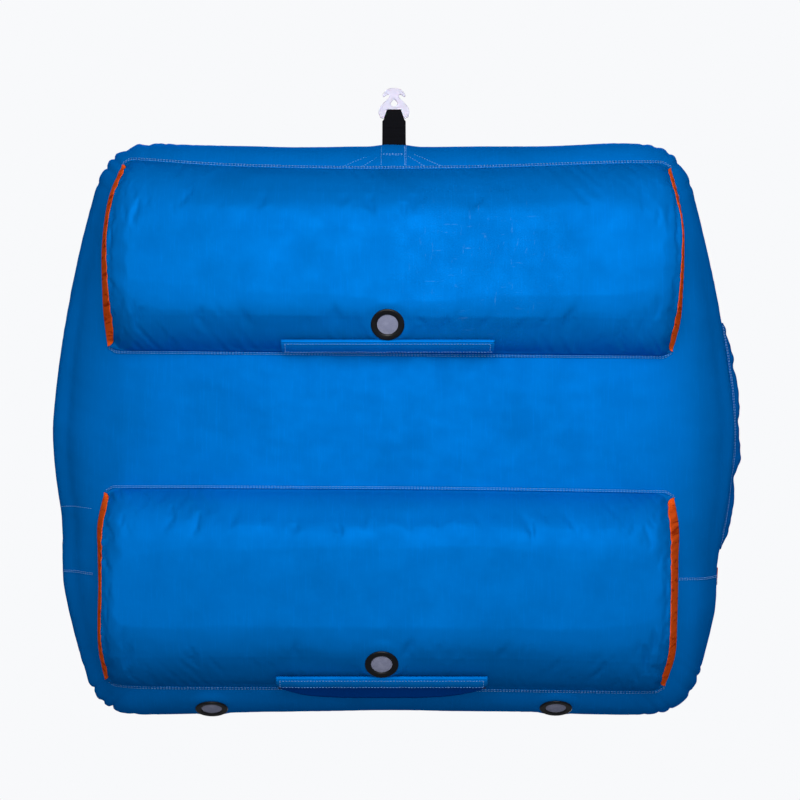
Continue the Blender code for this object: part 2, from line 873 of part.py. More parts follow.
def draped_pad(name, centre, half_x, half_y, corner, offset, thickness, steps, material):
    """Padded panel that follows the deck, with rounded corners."""
    columns, lines = steps
    rows = []
    for i in range(lines + 1):
        y = half_y * math.sin(math.pi / 2 * (2 * i / lines - 1))
        overrun = abs(y) - (half_y - corner)
        reach = half_x
        if overrun > 0.0:
            reach = half_x - corner + math.sqrt(max(corner**2 - overrun**2, 0.0))
        row = []
        for j in range(columns + 1):
            x = centre[0] + reach * math.sin(math.pi / 2 * (2 * j / columns - 1))
            row.append((x, centre[1] + y, upper_skin(x, centre[1] + y) + offset + thickness))
        rows.append(row)
    sheet(name, rows, material, thickness)


def build_handle(prefix, x):
    """Padded guard sewn to the deck, and a swinging webbing loop through a foam grip."""
    guard_thickness = 0.0050
    guard_offset = 0.0016
    draped_pad(
        prefix + "_handle_guard", (x, HANDLE_Y), 0.100, 0.058, 0.030, guard_offset,
        guard_thickness, (6, 4), "deck_foam",
    )
    normal = surface_normal(upper_skin, x, HANDLE_Y, False)
    foot_radius = 0.0050
    lift = guard_offset + guard_thickness + foot_radius + 0.0008
    pivot = Vector((x, HANDLE_Y, upper_skin(x, HANDLE_Y))) + normal * lift
    turn = turn_to(normal)

    left = [
        (-0.0760, -0.0049, 0.0012),
        (-0.0760, -0.0035, 0.0035),
        (-0.0760, 0.0000, 0.0049),
        (-0.0755, 0.0120, 0.0110),
        (-0.0700, 0.0260, 0.0122),
        (-0.0600, 0.0355, 0.0122),
        (-0.0500, GRIP_HEIGHT, 0.0122),
    ]
    path = left + [(-a, b, w) for a, b, w in reversed(left)]
    centres = [(a, 0.0, b) for a, b, w in path]
    widths = [w for a, b, w in path]
    loop = strap(prefix + "_handle_strap", centres, (0, 1, 0), widths, WEBBING, "webbing_black")
    loop.location = pivot
    loop.rotation_euler = turn

    profile = [(GRIP_RADIUS, 0.0470), (GRIP_RADIUS, -0.0470), (0.0132, -0.0470), (0.0132, 0.0470)]
    grip_spot = pivot + normal * GRIP_HEIGHT
    along = turn.to_matrix() @ Vector((1.0, 0.0, 0.0))
    turned(prefix + "_handle_grip", profile, grip_spot, turn_to(along), "grip_foam", 20)


def build_valve(top, bladder):
    """Two-stage inflation valve: base welded to the bladder, screwed insert, tethered cap."""
    deck = upper_skin(0.0, VALVE_Y)
    skin = EQUATOR + (deck - EQUATOR) * BLADDER_HEIGHT_SHARE
    spot = (0.0, VALVE_Y, 0.0)
    opening = rod("valve_opening", 0.0360, 0.030, (0.0, VALVE_Y, deck), (0, 0, 0), cutter=True, steps=40)
    cut(top, opening)
    seat = rod("valve_seat", 0.0215, 0.060, (0.0, VALVE_Y, skin), (0, 0, 0), cutter=True, steps=40)
    cut(bladder, seat)
    rim = deck + 0.0060
    base = [
        (0.0205, rim),
        (0.0205, skin + 0.0032),
        (0.0320, skin + 0.0032),
        (0.0320, skin + 0.0012),
        (0.0205, skin + 0.0012),
        (0.0205, skin - 0.0140),
        (0.0165, skin - 0.0140),
        (0.0165, rim),
    ]
    turned("valve_base", base, spot, (0, 0, 0), "valve_white", 32)
    insert = [
        (0.0161, rim - 0.0010),
        (0.0161, skin - 0.0100),
        (0.0125, skin - 0.0100),
        (0.0125, rim - 0.0010),
    ]
    turned("valve_insert", insert, spot, (0, 0, 0), "fitting_black", 28)

    hinge = (0.0, VALVE_Y + 0.0250, rim + 0.0006)
    cap = turned(
        "valve_cap",
        [(0.0, 0.0060), (0.0190, 0.0060), (0.0210, 0.0045), (0.0210, 0.0), (0.0118, 0.0), (0.0118, -0.0030),
         (0.0, -0.0030)],
        (0.0, VALVE_Y, rim + 0.0006), (0, 0, 0), "valve_white", 28, closed=False,
    )
    ear_spot = (0.0, VALVE_Y + 0.0220, rim + 0.0021)
    ear = box("valve_cap_ear", (0.010, 0.010, 0.0030), ear_spot, (0, 0, 0), cutter=True)
    join = cap.modifiers.new("ear", "BOOLEAN")
    join.operation = "UNION"
    join.solver = "EXACT"
    join.object = ear


def build_deck():
    for side, name in ((-1, "left_deck_pad"), (1, "right_deck_pad")):
        draped_pad(name, (side * 0.300, 0.110), 0.225, 0.250, 0.060, 0.0022, 0.0080, (8, 8), "deck_foam")


# ---------------------------------------------------------------- assembly


def main():
    bottom, top = build_covers()
    build_piping()
    bladder = build_main_bladder()

    front_cover = build_pad_cover("front_pad_cover", FRONT_PAD)
    rear_cover = build_pad_cover("rear_pad_cover", REAR_PAD)
    for prefix, pad in (("front_pad", FRONT_PAD), ("rear_pad", REAR_PAD)):
        build_gusset(prefix + "_left_gusset", pad, -1)
        build_gusset(prefix + "_right_gusset", pad, 1)
        build_pad_bladder(prefix + "_bladder", pad, 0.300)

    for prefix, pad, cover, x, y in (
        ("front_pad_drain", FRONT_PAD, front_cover, -0.012, -0.213),
        ("rear_pad_drain", REAR_PAD, rear_cover, -0.024, 0.468),
    ):
        spot = Vector((x, y, pad_skin(pad, x, y)))
        normal = surface_normal(lambda a, b, pad=pad: pad_skin(pad, a, b), x, y, True)
        build_drain(prefix, cover, spot, normal, PAD_DRAIN_DEPTH)
    for prefix, x in (("left_body_drain", -0.380), ("right_body_drain", 0.338)):
        y = 0.962 * (HALF_LENGTH + END_FLARE * (x / 0.55) ** 2)
        spot = Vector((x, y, lower_skin(x, y)))
        normal = surface_normal(lower_skin, x, y, True)
        build_drain(prefix, bottom, spot, normal, BODY_DRAIN_DEPTH)

    build_pad_zip("front_pad", FRONT_PAD, front_cover, -0.172, 1, (-0.227, 0.203), 0.0)
    build_pad_zip("rear_pad", REAR_PAD, rear_cover, 0.522, 1, (-0.238, 0.190), -0.45)

    build_side_zip()
    build_side_flap()
    build_tow_tail(bottom)
    build_tow_strap()
    build_connector()
    for prefix, x in HANDLE_XS.items():
        build_handle(prefix, x)
    build_valve(top, bladder)
    build_deck()


main()
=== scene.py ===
"""Visual model of the two-rider towable tube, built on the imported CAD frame."""

import math

import bmesh
import bpy
import numpy as np
from mathutils import Matrix, Vector


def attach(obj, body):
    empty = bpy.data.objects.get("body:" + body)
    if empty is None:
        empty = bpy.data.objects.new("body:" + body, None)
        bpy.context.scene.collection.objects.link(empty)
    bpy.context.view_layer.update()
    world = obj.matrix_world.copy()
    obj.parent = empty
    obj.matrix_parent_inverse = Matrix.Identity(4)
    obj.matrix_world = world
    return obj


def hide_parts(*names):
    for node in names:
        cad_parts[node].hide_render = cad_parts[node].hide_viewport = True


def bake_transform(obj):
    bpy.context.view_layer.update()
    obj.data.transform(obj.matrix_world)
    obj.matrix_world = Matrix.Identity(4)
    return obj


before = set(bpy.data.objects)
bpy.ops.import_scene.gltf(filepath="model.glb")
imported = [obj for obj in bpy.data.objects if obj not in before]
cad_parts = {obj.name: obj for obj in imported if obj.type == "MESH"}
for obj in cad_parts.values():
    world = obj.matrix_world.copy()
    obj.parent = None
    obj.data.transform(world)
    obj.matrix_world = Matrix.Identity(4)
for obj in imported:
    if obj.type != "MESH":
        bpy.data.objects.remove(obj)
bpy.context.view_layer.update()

# Body, metres, in coordinates centred on the body; BODY_Y moves them to the frame.
HALF_WIDTH = 0.725
HALF_LENGTH = 0.598
SIDE_BOW = 0.247
LEFT_SWELL = (0.024, 0.160, 0.350)
RIGHT_SWELL = (0.017, 0.262, 0.400)
END_FLARE = 0.014
CORNER_POWER = 13.0
EQUATOR = 0.235
HALF_HEIGHT = 0.150
SIDE_POWER = 7.0
EDGE_POWER = 2.2
SEAM_HEIGHT = 0.255
BODY_Y = 0.0515

# Float pads.
PAD_RISE = 0.088
PAD_ROUNDNESS = 2.6
PAD_GAP = 0.0022
CAD_PADS = {"front": (-0.356, 0.204), "rear": (0.329, 0.210)}
PAD_LENGTH = 0.596
PAD_CORNER = 0.040

# Outlines of the two pads: seams from left to right and end feet from front to rear.
PADS = {
    "front": {
        "front_seam": (-0.5620, -0.5460, -0.5395, -0.5380, -0.5405, -0.5470, -0.5535),
        "rear_seam": (-0.1630, -0.1610, -0.1590, -0.1570, -0.1550, -0.1535, -0.1520),
        "left_end": (-0.5650, -0.5895, -0.6000, -0.6035, -0.6010, -0.5965, -0.5872),
        "right_end": (0.5770, 0.5905, 0.6000, 0.5990, 0.5950, 0.5890, 0.5712),
        "insets": (0.0285, 0.0230),
        "bladder": (-0.5290, 0.5370),
    },
    "rear": {
        "front_seam": (0.1185, 0.1180, 0.1190, 0.1200, 0.1220, 0.1250, 0.1290),
        "rear_seam": (0.5270, 0.5275, 0.5290, 0.5310, 0.5330, 0.5355, 0.5390),
        "left_end": (-0.5940, -0.6090, -0.6085, -0.6080, -0.6110, -0.6110, -0.6000),
        "right_end": (0.5745, 0.5855, 0.5845, 0.5840, 0.5830, 0.5805, 0.5609),
        "insets": (0.0245, 0.0305),
        "bladder": (-0.5480, 0.5260),
    },
}

# Tow connector's bar, and the thickness of the webbing.
TOW_BAR_Y = -0.674
WEBBING = 0.0024

# Thickness of thin fabric sheets.
CLOTH = 0.0010

# Drains: the pad that each is on, and its place; those on the body are near its rear edge.
REAR_EDGE_SHARE = 0.962
DRAINS = {
    "front_pad": ("front", -0.012, -0.213),
    "rear_pad": ("rear", -0.024, 0.468),
    "left_body": (None, -0.380, None),
    "right_body": (None, 0.338, None),
}
HANDLE_Y = -0.300
HANDLE_XS = {"outer_left": -0.470, "inner_left": -0.170, "inner_right": 0.170, "outer_right": 0.470}

BLUE = (0, 111, 199)
ORANGE = (248, 84, 12)
WHITE = (226, 228, 231)
FLOOR_HALF = 60.0


# ---------------------------------------------------------------- materials


def linear(rgb):
    values = np.array(rgb, float) / 255.0
    low = values / 12.92
    high = ((values + 0.055) / 1.055) ** 2.4
    return tuple(np.where(values <= 0.04045, low, high)) + (1.0,)


class Shader:
    """A Principled material with short ways to add texture nodes."""

    def __init__(self, name, rgb, roughness, metallic=0.0):
        self.material = bpy.data.materials.new(name)
        self.material.use_nodes = True
        self.tree = self.material.node_tree
        self.main = self.tree.nodes["Principled BSDF"]
        self.drive("Base Color", linear(rgb))
        self.drive("Roughness", roughness)
        self.drive("Metallic", metallic)
        self.coords = self.tree.nodes.new("ShaderNodeTexCoord").outputs["Object"]
        self.colour = linear(rgb)
        self.normal = None

    def put(self, socket, value):
        """Joins another node's output to a socket, or sets its value."""
        if isinstance(value, bpy.types.NodeSocket):
            self.tree.links.new(value, socket)
        else:
            socket.default_value = value

    def drive(self, name, value):
        self.put(self.main.inputs[name], value)

    def add(self, kind, inputs):
        node = self.tree.nodes.new("ShaderNode" + kind)
        for name, value in inputs.items():
            self.put(node.inputs[name], value)
        return node

    def stretched(self, scale, turn=(0.0, 0.0, 0.0)):
        node = self.add("Mapping", {"Scale": scale, "Rotation": turn, "Vector": self.coords})
        return node.outputs["Vector"]

    def noise(self, scale, detail=3.0, roughness=0.55, vector=None, distortion=0.0):
        settings = {"Scale": scale, "Detail": detail, "Roughness": roughness, "Distortion": distortion}
        return self.add("TexNoise", {**settings, "Vector": vector or self.coords}).outputs["Fac"]

    def bands(self, period, direction):
        node = self.add("TexWave", {"Scale": 0.3141593 / period, "Vector": self.coords})
        node.bands_direction = direction
        return node.outputs["Fac"]

    def checks(self, first, second, direction="X"):
        """Product of two sets of bands, as in a weave."""
        return self.math("MULTIPLY", self.bands(first, direction), self.bands(second, "Y"))

    def ramp(self, value, low, high, out_low=0.0, out_high=1.0):
        ends = {"From Min": low, "From Max": high, "To Min": out_low, "To Max": out_high}
        node = self.add("MapRange", {**ends, "Value": value})
        node.interpolation_type = "SMOOTHSTEP"
        return node.outputs["Result"]

    def math(self, kind, a, b):
        node = self.add("Math", {0: a, 1: b})
        node.operation = kind
        return node.outputs["Value"]

    def tint(self, factor, rgb):
        """Mixes another colour over what is there, by a factor."""
        node = self.tree.nodes.new("ShaderNodeMix")
        node.data_type = "RGBA"
        self.put(node.inputs["A"], self.colour)
        self.put(node.inputs["B"], linear(rgb))
        self.put(node.inputs["Factor"], factor)
        self.colour = node.outputs["Result"]
        self.drive("Base Color", self.colour)

    def patches(self, scale, detail, low, high, amount, rgb):
        """Mixes another colour over what is there, in soft patches."""
        self.tint(self.ramp(self.noise(scale, detail), low, high, 0.0, amount), rgb)

    def bump(self, height, strength, distance):
        node = self.add("Bump", {"Strength": strength, "Distance": distance, "Height": height})
        if self.normal is not None:
            self.put(node.inputs["Normal"], self.normal)
        self.normal = node.outputs["Normal"]
        self.drive("Normal", self.normal)

    def near(self, centre, inner, outer):
        """1 within inner of a point and 0 beyond outer."""
        node = self.add("VectorMath", {0: self.coords, 1: centre})
        node.operation = "DISTANCE"
        return self.ramp(node.outputs["Value"], inner, outer, 1.0, 0.0)

    def axis(self, name):
        return self.add("SeparateXYZ", {"Vector": self.coords}).outputs[name]


def shade(rgb, factor):
    return tuple(min(255.0, c * factor) for c in rgb)


def woven(name, rgb, roughness=0.55, crinkle=0.28, metal=0.24):
    """Coated woven nylon, whose threads give it a coloured gloss."""
    s = Shader(name, rgb, roughness, metal)
    s.drive("Specular IOR Level", 0.0)
    s.drive("Specular Tint", linear(rgb))
    s.patches(7.0, 4.0, 0.40, 0.70, 0.40, shade(rgb, 0.88))
    s.patches(3.1, 2.0, 0.45, 0.70, 0.35, shade(rgb, 1.10))
    streaks = s.noise(5.0, 4.0, 0.7, s.stretched((60.0, 3.0, 3.0)))
    s.tint(s.ramp(streaks, 0.50, 0.75, 0.0, 0.14), shade(rgb, 1.30))
    s.bump(s.noise(42.0, 5.0, 0.62, distortion=0.6), crinkle, 0.0010)
    s.bump(s.noise(210.0, 2.0), 0.14, 0.0004)
    s.bump(s.checks(0.0016, 0.0016), 0.10, 0.0002)
    s.drive("Roughness", s.ramp(s.noise(18.0, 3.0), 0.3, 0.7, roughness - 0.06, roughness + 0.07))
    return s


def scuffed_pad():
    """Pad fabric with faint crossing scuffs to the right of the front pad's middle."""
    pad = woven("pad_blue", (0, 109, 195), crinkle=0.34)
    scuffs = pad.noise(9.0, 6.0, 0.75, pad.stretched((14.0, 2.2, 3.0), (0.0, 0.0, 0.35)))
    more = pad.noise(9.0, 6.0, 0.75, pad.stretched((2.4, 15.0, 3.0), (0.0, 0.0, -0.25)))
    lines = pad.math("MAXIMUM", pad.ramp(scuffs, 0.60, 0.68), pad.ramp(more, 0.61, 0.68))
    place = pad.near((0.175, -0.285, 0.01), 0.03, 0.20)
    pad.tint(pad.math("MULTIPLY", pad.math("MULTIPLY", lines, place), 0.15), (120, 182, 226))
    return pad


def striped_deck():
    """Deck fabric whose side panels are orange, with a white stripe along each."""
    deck = woven("deck_blue", BLUE)
    across = deck.math("ABSOLUTE", deck.axis("X"), 0.0)
    along = deck.math("SUBTRACT", deck.axis("Y"), BODY_Y)
    edge = deck.math("ADD", across, deck.math("MULTIPLY", deck.math("MULTIPLY", along, along), 0.10))
    above = deck.ramp(deck.axis("Z"), 0.2995, 0.3000)
    deck.tint(deck.math("MULTIPLY", deck.ramp(edge, 0.5900, 0.5903), above), WHITE)
    deck.tint(deck.math("MULTIPLY", deck.ramp(edge, 0.6090, 0.6093), above), ORANGE)
    return deck


def ruffled_panel():
    """Orange fabric with bumped folds whose shade is painted dark, gathered between a pad and the body."""
    ruffled = woven("end_panel_orange", (255, 96, 30), 0.60, 0.5, 0.0)
    folds_with_painted_shade = ruffled.noise(16.0, 3.0, 0.6, ruffled.stretched((0.6, 7.0, 0.8)))
    # Painted shade: dark red-orange laid along the folds stands in for the shade in them; the same noise also
    # bumps them.
    ruffled.tint(ruffled.ramp(folds_with_painted_shade, 0.55, 0.66, 0.0, 0.7), (168, 34, 8))
    ruffled.bump(folds_with_painted_shade, 0.8, 0.0020)
    return ruffled


def thread_and_webbing():
    thread = Shader("thread_pale", (112, 168, 228), 0.75)
    thread.bump(thread.noise(900.0, 2.0), 0.3, 0.0003)

    webbing = Shader("webbing_black", (7, 7, 11), 0.88)
    webbing.drive("Specular IOR Level", 0.12)
    ribs = webbing.checks(0.0021, 0.0030)
    webbing.tint(webbing.ramp(ribs, 0.2, 0.9, 0.0, 0.6), (24, 24, 31))
    webbing.bump(ribs, 0.8, 0.0006)
    return thread, webbing


def drain_and_zip():
    plastic = Shader("fitting_black", (11, 12, 16), 0.45)
    plastic.drive("Specular IOR Level", 0.30)
    plastic.bump(plastic.noise(260.0, 3.0), 0.12, 0.0003)
    plastic.drive("Roughness", plastic.ramp(plastic.noise(40.0, 3.0), 0.3, 0.7, 0.34, 0.52))

    mesh = Shader("drain_mesh", (142, 146, 174), 0.75)
    holes = mesh.checks(0.0016, 0.0016)
    mesh.tint(mesh.ramp(holes, 0.30, 0.75, 0.0, 0.75), (62, 64, 84))
    mesh.patches(60.0, 2.0, 0.45, 0.7, 0.35, (168, 171, 196))
    mesh.bump(holes, 0.6, 0.0004)

    zipper = Shader("zip_black", (16, 17, 22), 0.62)
    teeth = zipper.bands(0.0022, "X")
    zipper.bump(teeth, 0.7, 0.0008)
    zipper.tint(zipper.ramp(teeth, 0.4, 0.9, 0.0, 0.6), (44, 45, 52))
    return plastic, mesh, zipper


def clear_plastic():
    clear = Shader("connector_clear", (204, 200, 220), 0.34)
    clear.drive("Transmission Weight", 0.22)
    clear.drive("IOR", 1.49)
    clear.drive("Subsurface Weight", 0.25)
    clear.drive("Subsurface Scale", 0.004)
    clear.patches(90.0, 3.0, 0.4, 0.7, 0.35, (188, 184, 208))
    clear.bump(clear.noise(120.0, 2.0), 0.08, 0.0004)
    return clear


def foams():
    grip = Shader("grip_foam", (25, 26, 30), 0.86)
    grip.bump(grip.noise(240.0, 4.0, 0.7), 0.5, 0.0006)
    grip.patches(30.0, 3.0, 0.4, 0.7, 0.5, (37, 38, 43))

    foam = Shader("deck_foam", (58, 62, 70), 0.88)
    foam.bump(foam.ramp(foam.checks(0.012, 0.012, "DIAGONAL"), 0.25, 0.5), 0.6, 0.0010)
    foam.bump(foam.noise(300.0, 3.0), 0.35, 0.0004)
    foam.patches(9.0, 4.0, 0.4, 0.7, 0.6, (70, 74, 82))
    return grip, foam


def valve_and_film():
    valve = Shader("valve_white", (230, 232, 236), 0.36)
    valve.patches(50.0, 3.0, 0.4, 0.75, 0.5, (214, 216, 222))
    film = Shader("bladder_film", (170, 188, 202), 0.30)
    film.patches(8.0, 3.0, 0.4, 0.7, 0.5, (150, 170, 188))
    return valve, film


def make_materials():
    thread, webbing = thread_and_webbing()
    plastic, mesh, zipper = drain_and_zip()
    grip, foam = foams()
    valve, film = valve_and_film()
    shaders = {
        "body_blue": woven("body_blue", BLUE),
        "pad_blue": scuffed_pad(),
        "deck_blue": striped_deck(),
        "orange": woven("trim_orange", ORANGE, 0.55, 0.5, 0.2),
        # Painted shade: the side flap's blue is darker than the body's to stand in for the shade of its
        # creases.
        "flap_blue_painted_shade": woven("flap_blue_painted_shade", (0, 94, 178), crinkle=0.7),
        # Painted shade: the rear zip cover's loose fold is dark blue to stand in for the shade in the gap
        # beneath it.
        "fold_blue_painted_shade": woven("fold_blue_painted_shade", (0, 68, 156), crinkle=0.5),
        "end_panel": ruffled_panel(),
        "white": woven("panel_white", WHITE, 0.55, 0.3, 0.0),
        "thread": thread, "webbing": webbing, "black_plastic": plastic, "mesh": mesh, "zip": zipper,
        "clear": clear_plastic(), "grip": grip, "foam": foam, "valve": valve, "film": film,
    }
    return {name: shader.material for name, shader in shaders.items()}


MATERIALS = make_materials()


# ---------------------------------------------------------------- mesh helpers


def linked(obj):
    bpy.context.scene.collection.objects.link(obj)
    return obj


def add_mesh(name, points, faces, material, body="tube"):
    """A mesh in body-centred coordinates, moved to the frame and set on a CAD body."""
    points = np.asarray(points, float).reshape(-1, 3) + (0.0, BODY_Y, 0.0)
    mesh = bpy.data.meshes.new(name)
    mesh.from_pydata(points.tolist(), [], faces)
    mesh.polygons.foreach_set("use_smooth", [True] * len(mesh.polygons))
    mesh.materials.append(MATERIALS[material])
    obj = linked(bpy.data.objects.new(name, mesh))
    if body:
        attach(obj, body)
    return obj


def grid_faces(rows, columns, wrap=False, flip=False):
    """Four-sided faces of a grid of points, joined round when it wraps."""
    i, j = np.meshgrid(np.arange(rows - 1), np.arange(columns if wrap else columns - 1), indexing="ij")
    k = (j + 1) % columns
    quads = np.stack([i * columns + j, i * columns + k, (i + 1) * columns + k, (i + 1) * columns + j], -1)
    quads = quads.reshape(-1, 4)
    return (quads[:, ::-1] if flip else quads).tolist()


def add_sheet(name, rows, material, body="tube", flip=False):
    """A mesh from rows of points."""
    grid = np.asarray(rows)
    return add_mesh(name, grid, grid_faces(*grid.shape[:2], flip=flip), material, body)


def grid_normals(points, wrap=False, flip=False):
    """Unit normals of a grid of points, rows by columns."""
    down = np.gradient(points, axis=0)
    if wrap:
        across = (np.roll(points, -1, axis=1) - np.roll(points, 1, axis=1)) / 2
    else:
        across = np.gradient(points, axis=1)
    normal = np.cross(across, down)
    length = np.linalg.norm(normal, axis=-1, keepdims=True)
    normal = normal / np.maximum(length, 1e-12)
    return -normal if flip else normal


def aligned(normals, axis, sign):
    """Normals turned so that they all point the same way along one axis."""
    wrong = normals[..., axis : axis + 1] * sign < 0
    return np.where(wrong, -normals, normals)


def face_out(obj, merge=0.0):
    work = bmesh.new()
    work.from_mesh(obj.data)
    if merge:
        bmesh.ops.remove_doubles(work, verts=work.verts[:], dist=merge)
    bmesh.ops.recalc_face_normals(work, faces=work.faces[:])
    work.to_mesh(obj.data)
    work.free()
    return obj


def thicken(obj, thickness=CLOTH, offset=0.0):
    modifier = obj.modifiers.new("thickness", "SOLIDIFY")
    modifier.thickness = thickness
    modifier.offset = offset


def smoothstep(low, high, value):
    share = np.clip((value - low) / (high - low), 0.0, 1.0)
    return share * share * (3 - 2 * share)


def ripples(points, wavelength, seed, count=24, spread=0.4):
    """Smooth irregular waves of about unit height through space."""
    rng = np.random.default_rng(seed)
    total = np.zeros(points.shape[:-1])
    for _ in range(count):
        direction = rng.normal(size=3)
        direction /= np.linalg.norm(direction)
        length = wavelength * (1 + spread * rng.uniform(-1, 1))
        total += np.sin(points @ direction * (2 * math.pi / length) + rng.uniform(0, 6.28))
    return total / math.sqrt(count / 2)


def puckers(along, seed, shortest=0.010, longest=0.034, count=9):
    """Irregular gathers along a seam, as a height of about unit size."""
    rng = np.random.default_rng(seed)
    total = np.zeros_like(along)
    for _ in range(count):
        length = rng.uniform(shortest, longest)
        total += np.sin(along * 2 * math.pi / length + rng.uniform(0, 6.28)) * (length / longest) ** 0.7
    strength = 0.55 + 0.45 * np.sin(along * 2 * math.pi / 0.21 + rng.uniform(0, 6.28))
    return total / math.sqrt(count) * strength


# ---------------------------------------------------------------- body surface


def outline_radius(angle):
    """How far the plan's outline is from its centre at an angle, found by halving."""
    across = np.abs(np.cos(angle))
    along = np.abs(np.sin(angle))
    rear = np.sin(angle) > 0
    low = np.full_like(across, 0.3)
    high = np.full_like(across, 1.1)
    for _ in range(40):
        middle = (low + high) / 2
        x = middle * across
        y = middle * along
        x_limit = HALF_WIDTH - SIDE_BOW * y**1.5
        right, left = (size * smoothstep(start, end, y) for size, start, end in (RIGHT_SWELL, LEFT_SWELL))
        x_limit = x_limit + rear * np.where(np.cos(angle) > 0, right, left)
        y_limit = HALF_LENGTH + END_FLARE * (x / 0.55) ** 2
        inside = (x / x_limit) ** CORNER_POWER + (y / y_limit) ** CORNER_POWER < 1.0
        low = np.where(inside, middle, low)
        high = np.where(inside, high, middle)
    return (low + high) / 2


def outline(count):
    """Evenly spaced outline points, and their distance along it."""
    angle = np.linspace(0, 2 * math.pi, 7201)
    radius = outline_radius(angle)
    dense = np.stack([radius * np.cos(angle), radius * np.sin(angle)], -1)
    steps = np.linalg.norm(np.diff(dense, axis=0), axis=1)
    lengths = np.concatenate([[0.0], np.cumsum(steps)])
    places = np.linspace(0, lengths[-1], count, endpoint=False)
    points = np.stack([np.interp(places, lengths, dense[:, k]) for k in (0, 1)], -1)
    return points, places


def skin_drop(x, y):
    """How far above or below the equator the body's skin is."""
    x = np.asarray(x, float)
    y = np.asarray(y, float)
    share = np.hypot(x, y) / outline_radius(np.arctan2(y, x))
    share = np.minimum(share, 0.9999)
    return HALF_HEIGHT * (1.0 - share**SIDE_POWER) ** (1.0 / EDGE_POWER)


def lower_skin(x, y):
    return EQUATOR - skin_drop(x, y)


def upper_skin(x, y):
    return EQUATOR + skin_drop(x, y)


def side_share(height):
    """How much of the outline the body fills at a height from its equator."""
    return (1.0 - (np.abs(height) / HALF_HEIGHT) ** EDGE_POWER) ** (1.0 / SIDE_POWER)


def surface_normal(surface, x, y, downward):
    step = 0.002
    slope_x = (surface(x + step, y) - surface(x - step, y)) / (2 * step)
    slope_y = (surface(x, y + step) - surface(x, y - step)) / (2 * step)
    normal = Vector((-float(slope_x), -float(slope_y), 1.0)).normalized()
    return -normal if downward else normal


def cad_pad_skin(pad, x, y):
    """The CAD pad's underside, which the fittings sit on."""
    centre, half = CAD_PADS[pad]
    overrun = np.maximum(np.abs(x) - (PAD_LENGTH - PAD_CORNER), 0.0)
    limit = half - PAD_CORNER + np.sqrt(np.maximum(PAD_CORNER**2 - overrun**2, 0.0))
    share = np.minimum(np.abs(y - centre) / limit, 1.0)
    end = 1.0 - 0.30 * (np.abs(x) / PAD_LENGTH) ** 8
    rise = PAD_RISE * (1.0 - share**PAD_ROUNDNESS) ** 0.6 * end
    return np.maximum(lower_skin(x, y) - PAD_GAP - rise, 0.0)


def drain_spot(name):
    """Centre and outward normal of a drain."""
    pad, x, y = DRAINS[name]
    if pad:
        surface = lambda a, b: cad_pad_skin(pad, a, b)
    else:
        y = REAR_EDGE_SHARE * (HALF_LENGTH + END_FLARE * (x / 0.55) ** 2)
        surface = lower_skin
    return Vector((x, y, float(surface(x, y)))), surface_normal(surface, x, y, True)


def flattened(points, name, depth=0.0006):
    """Presses a surface flat under a drain's ring."""
    spot, normal = drain_spot(name)
    offset = points - np.array(spot)
    height = offset @ np.array(normal)
    flat = offset - height[..., None] * np.array(normal)
    radius = np.linalg.norm(flat, axis=-1)
    keep = smoothstep(0.030, 0.058, radius)
    keep = np.where(np.abs(height) > 0.03, 1.0, keep)
    target = -depth * np.ones_like(height)
    target = np.where(radius < 0.022, -0.004, target)
    return points + ((target - height) * (1 - keep))[..., None] * np.array(normal)


def side_profile(start, spacing):
    """Shares and heights from a start height above the equator down to the centre."""
    begin = -math.asin((abs(start) / HALF_HEIGHT) ** (EDGE_POWER / 2)) * np.sign(start)
    turn = np.linspace(begin, math.pi / 2, 6000)
    height = -HALF_HEIGHT * np.sign(turn) * np.sin(np.abs(turn)) ** (2 / EDGE_POWER)
    share = np.maximum(np.cos(turn), 0.0) ** (2 / SIDE_POWER)
    steps = np.hypot(np.diff(share) * 0.64, np.diff(height))
    lengths = np.concatenate([[0.0], np.cumsum(steps)])
    count = int(lengths[-1] / spacing)
    places = np.linspace(0, lengths[-1], count, endpoint=False)
    return np.interp(places, lengths, share), np.interp(places, lengths, height), places


def corner_weight(points):
    """1 at the four corners of the plan and 0 along its sides."""
    x = points[..., 0]
    y = points[..., 1]
    away = np.hypot(np.abs(x) - np.where(y > 0, 0.618, 0.602), np.abs(y) - 0.578)
    reach = np.where((y < 0) & (x < 0) & (x > -0.60), 0.125, 0.086)
    return np.exp(-((away / reach) ** 3))


def gathers(along, depth, corner):
    """How far the cover stands out where its seam gathers it, most at the corners."""
    lift = 0.0009 * puckers(along, 11) * np.exp(-depth / 0.030)
    warped = along + 0.009 * np.sin(along * 2 * math.pi / 0.131) + 0.004 * np.sin(along * 2 * math.pi / 0.057)
    scallop = np.abs(np.sin(warped * math.pi / 0.036)) ** 0.5
    lift = lift + (0.0020 + 0.0105 * scallop) * corner * np.exp(-depth / 0.060)
    pleat = np.abs(np.sin(warped * math.pi / 0.036)) ** 0.4 - 0.8
    lift = lift + 0.0040 * pleat * corner * smoothstep(0.0, 0.03, depth) * np.exp(-depth / 0.085)
    return lift + 0.0016 * puckers(warped, 19, 0.014, 0.034) * corner * np.exp(-depth / 0.100)


def softened(value, width):
    """0 below zero and the value itself above, with a rounded turn."""
    return width * np.logaddexp(0.0, value / width)


def facets(points):
    """Flat bands beyond the inner bladder's ends, where the cover runs straight to its seam."""
    low = smoothstep(0.205, 0.150, points[..., 2])
    wave = 0.003 * np.sin(points[..., 1] * 2 * math.pi / 0.19)
    right = softened(points[..., 0] - 0.624 + wave, 0.004)
    left = softened(-points[..., 0] - 0.556 - wave, 0.004)
    return -0.16 * right * low - 0.13 * left * low


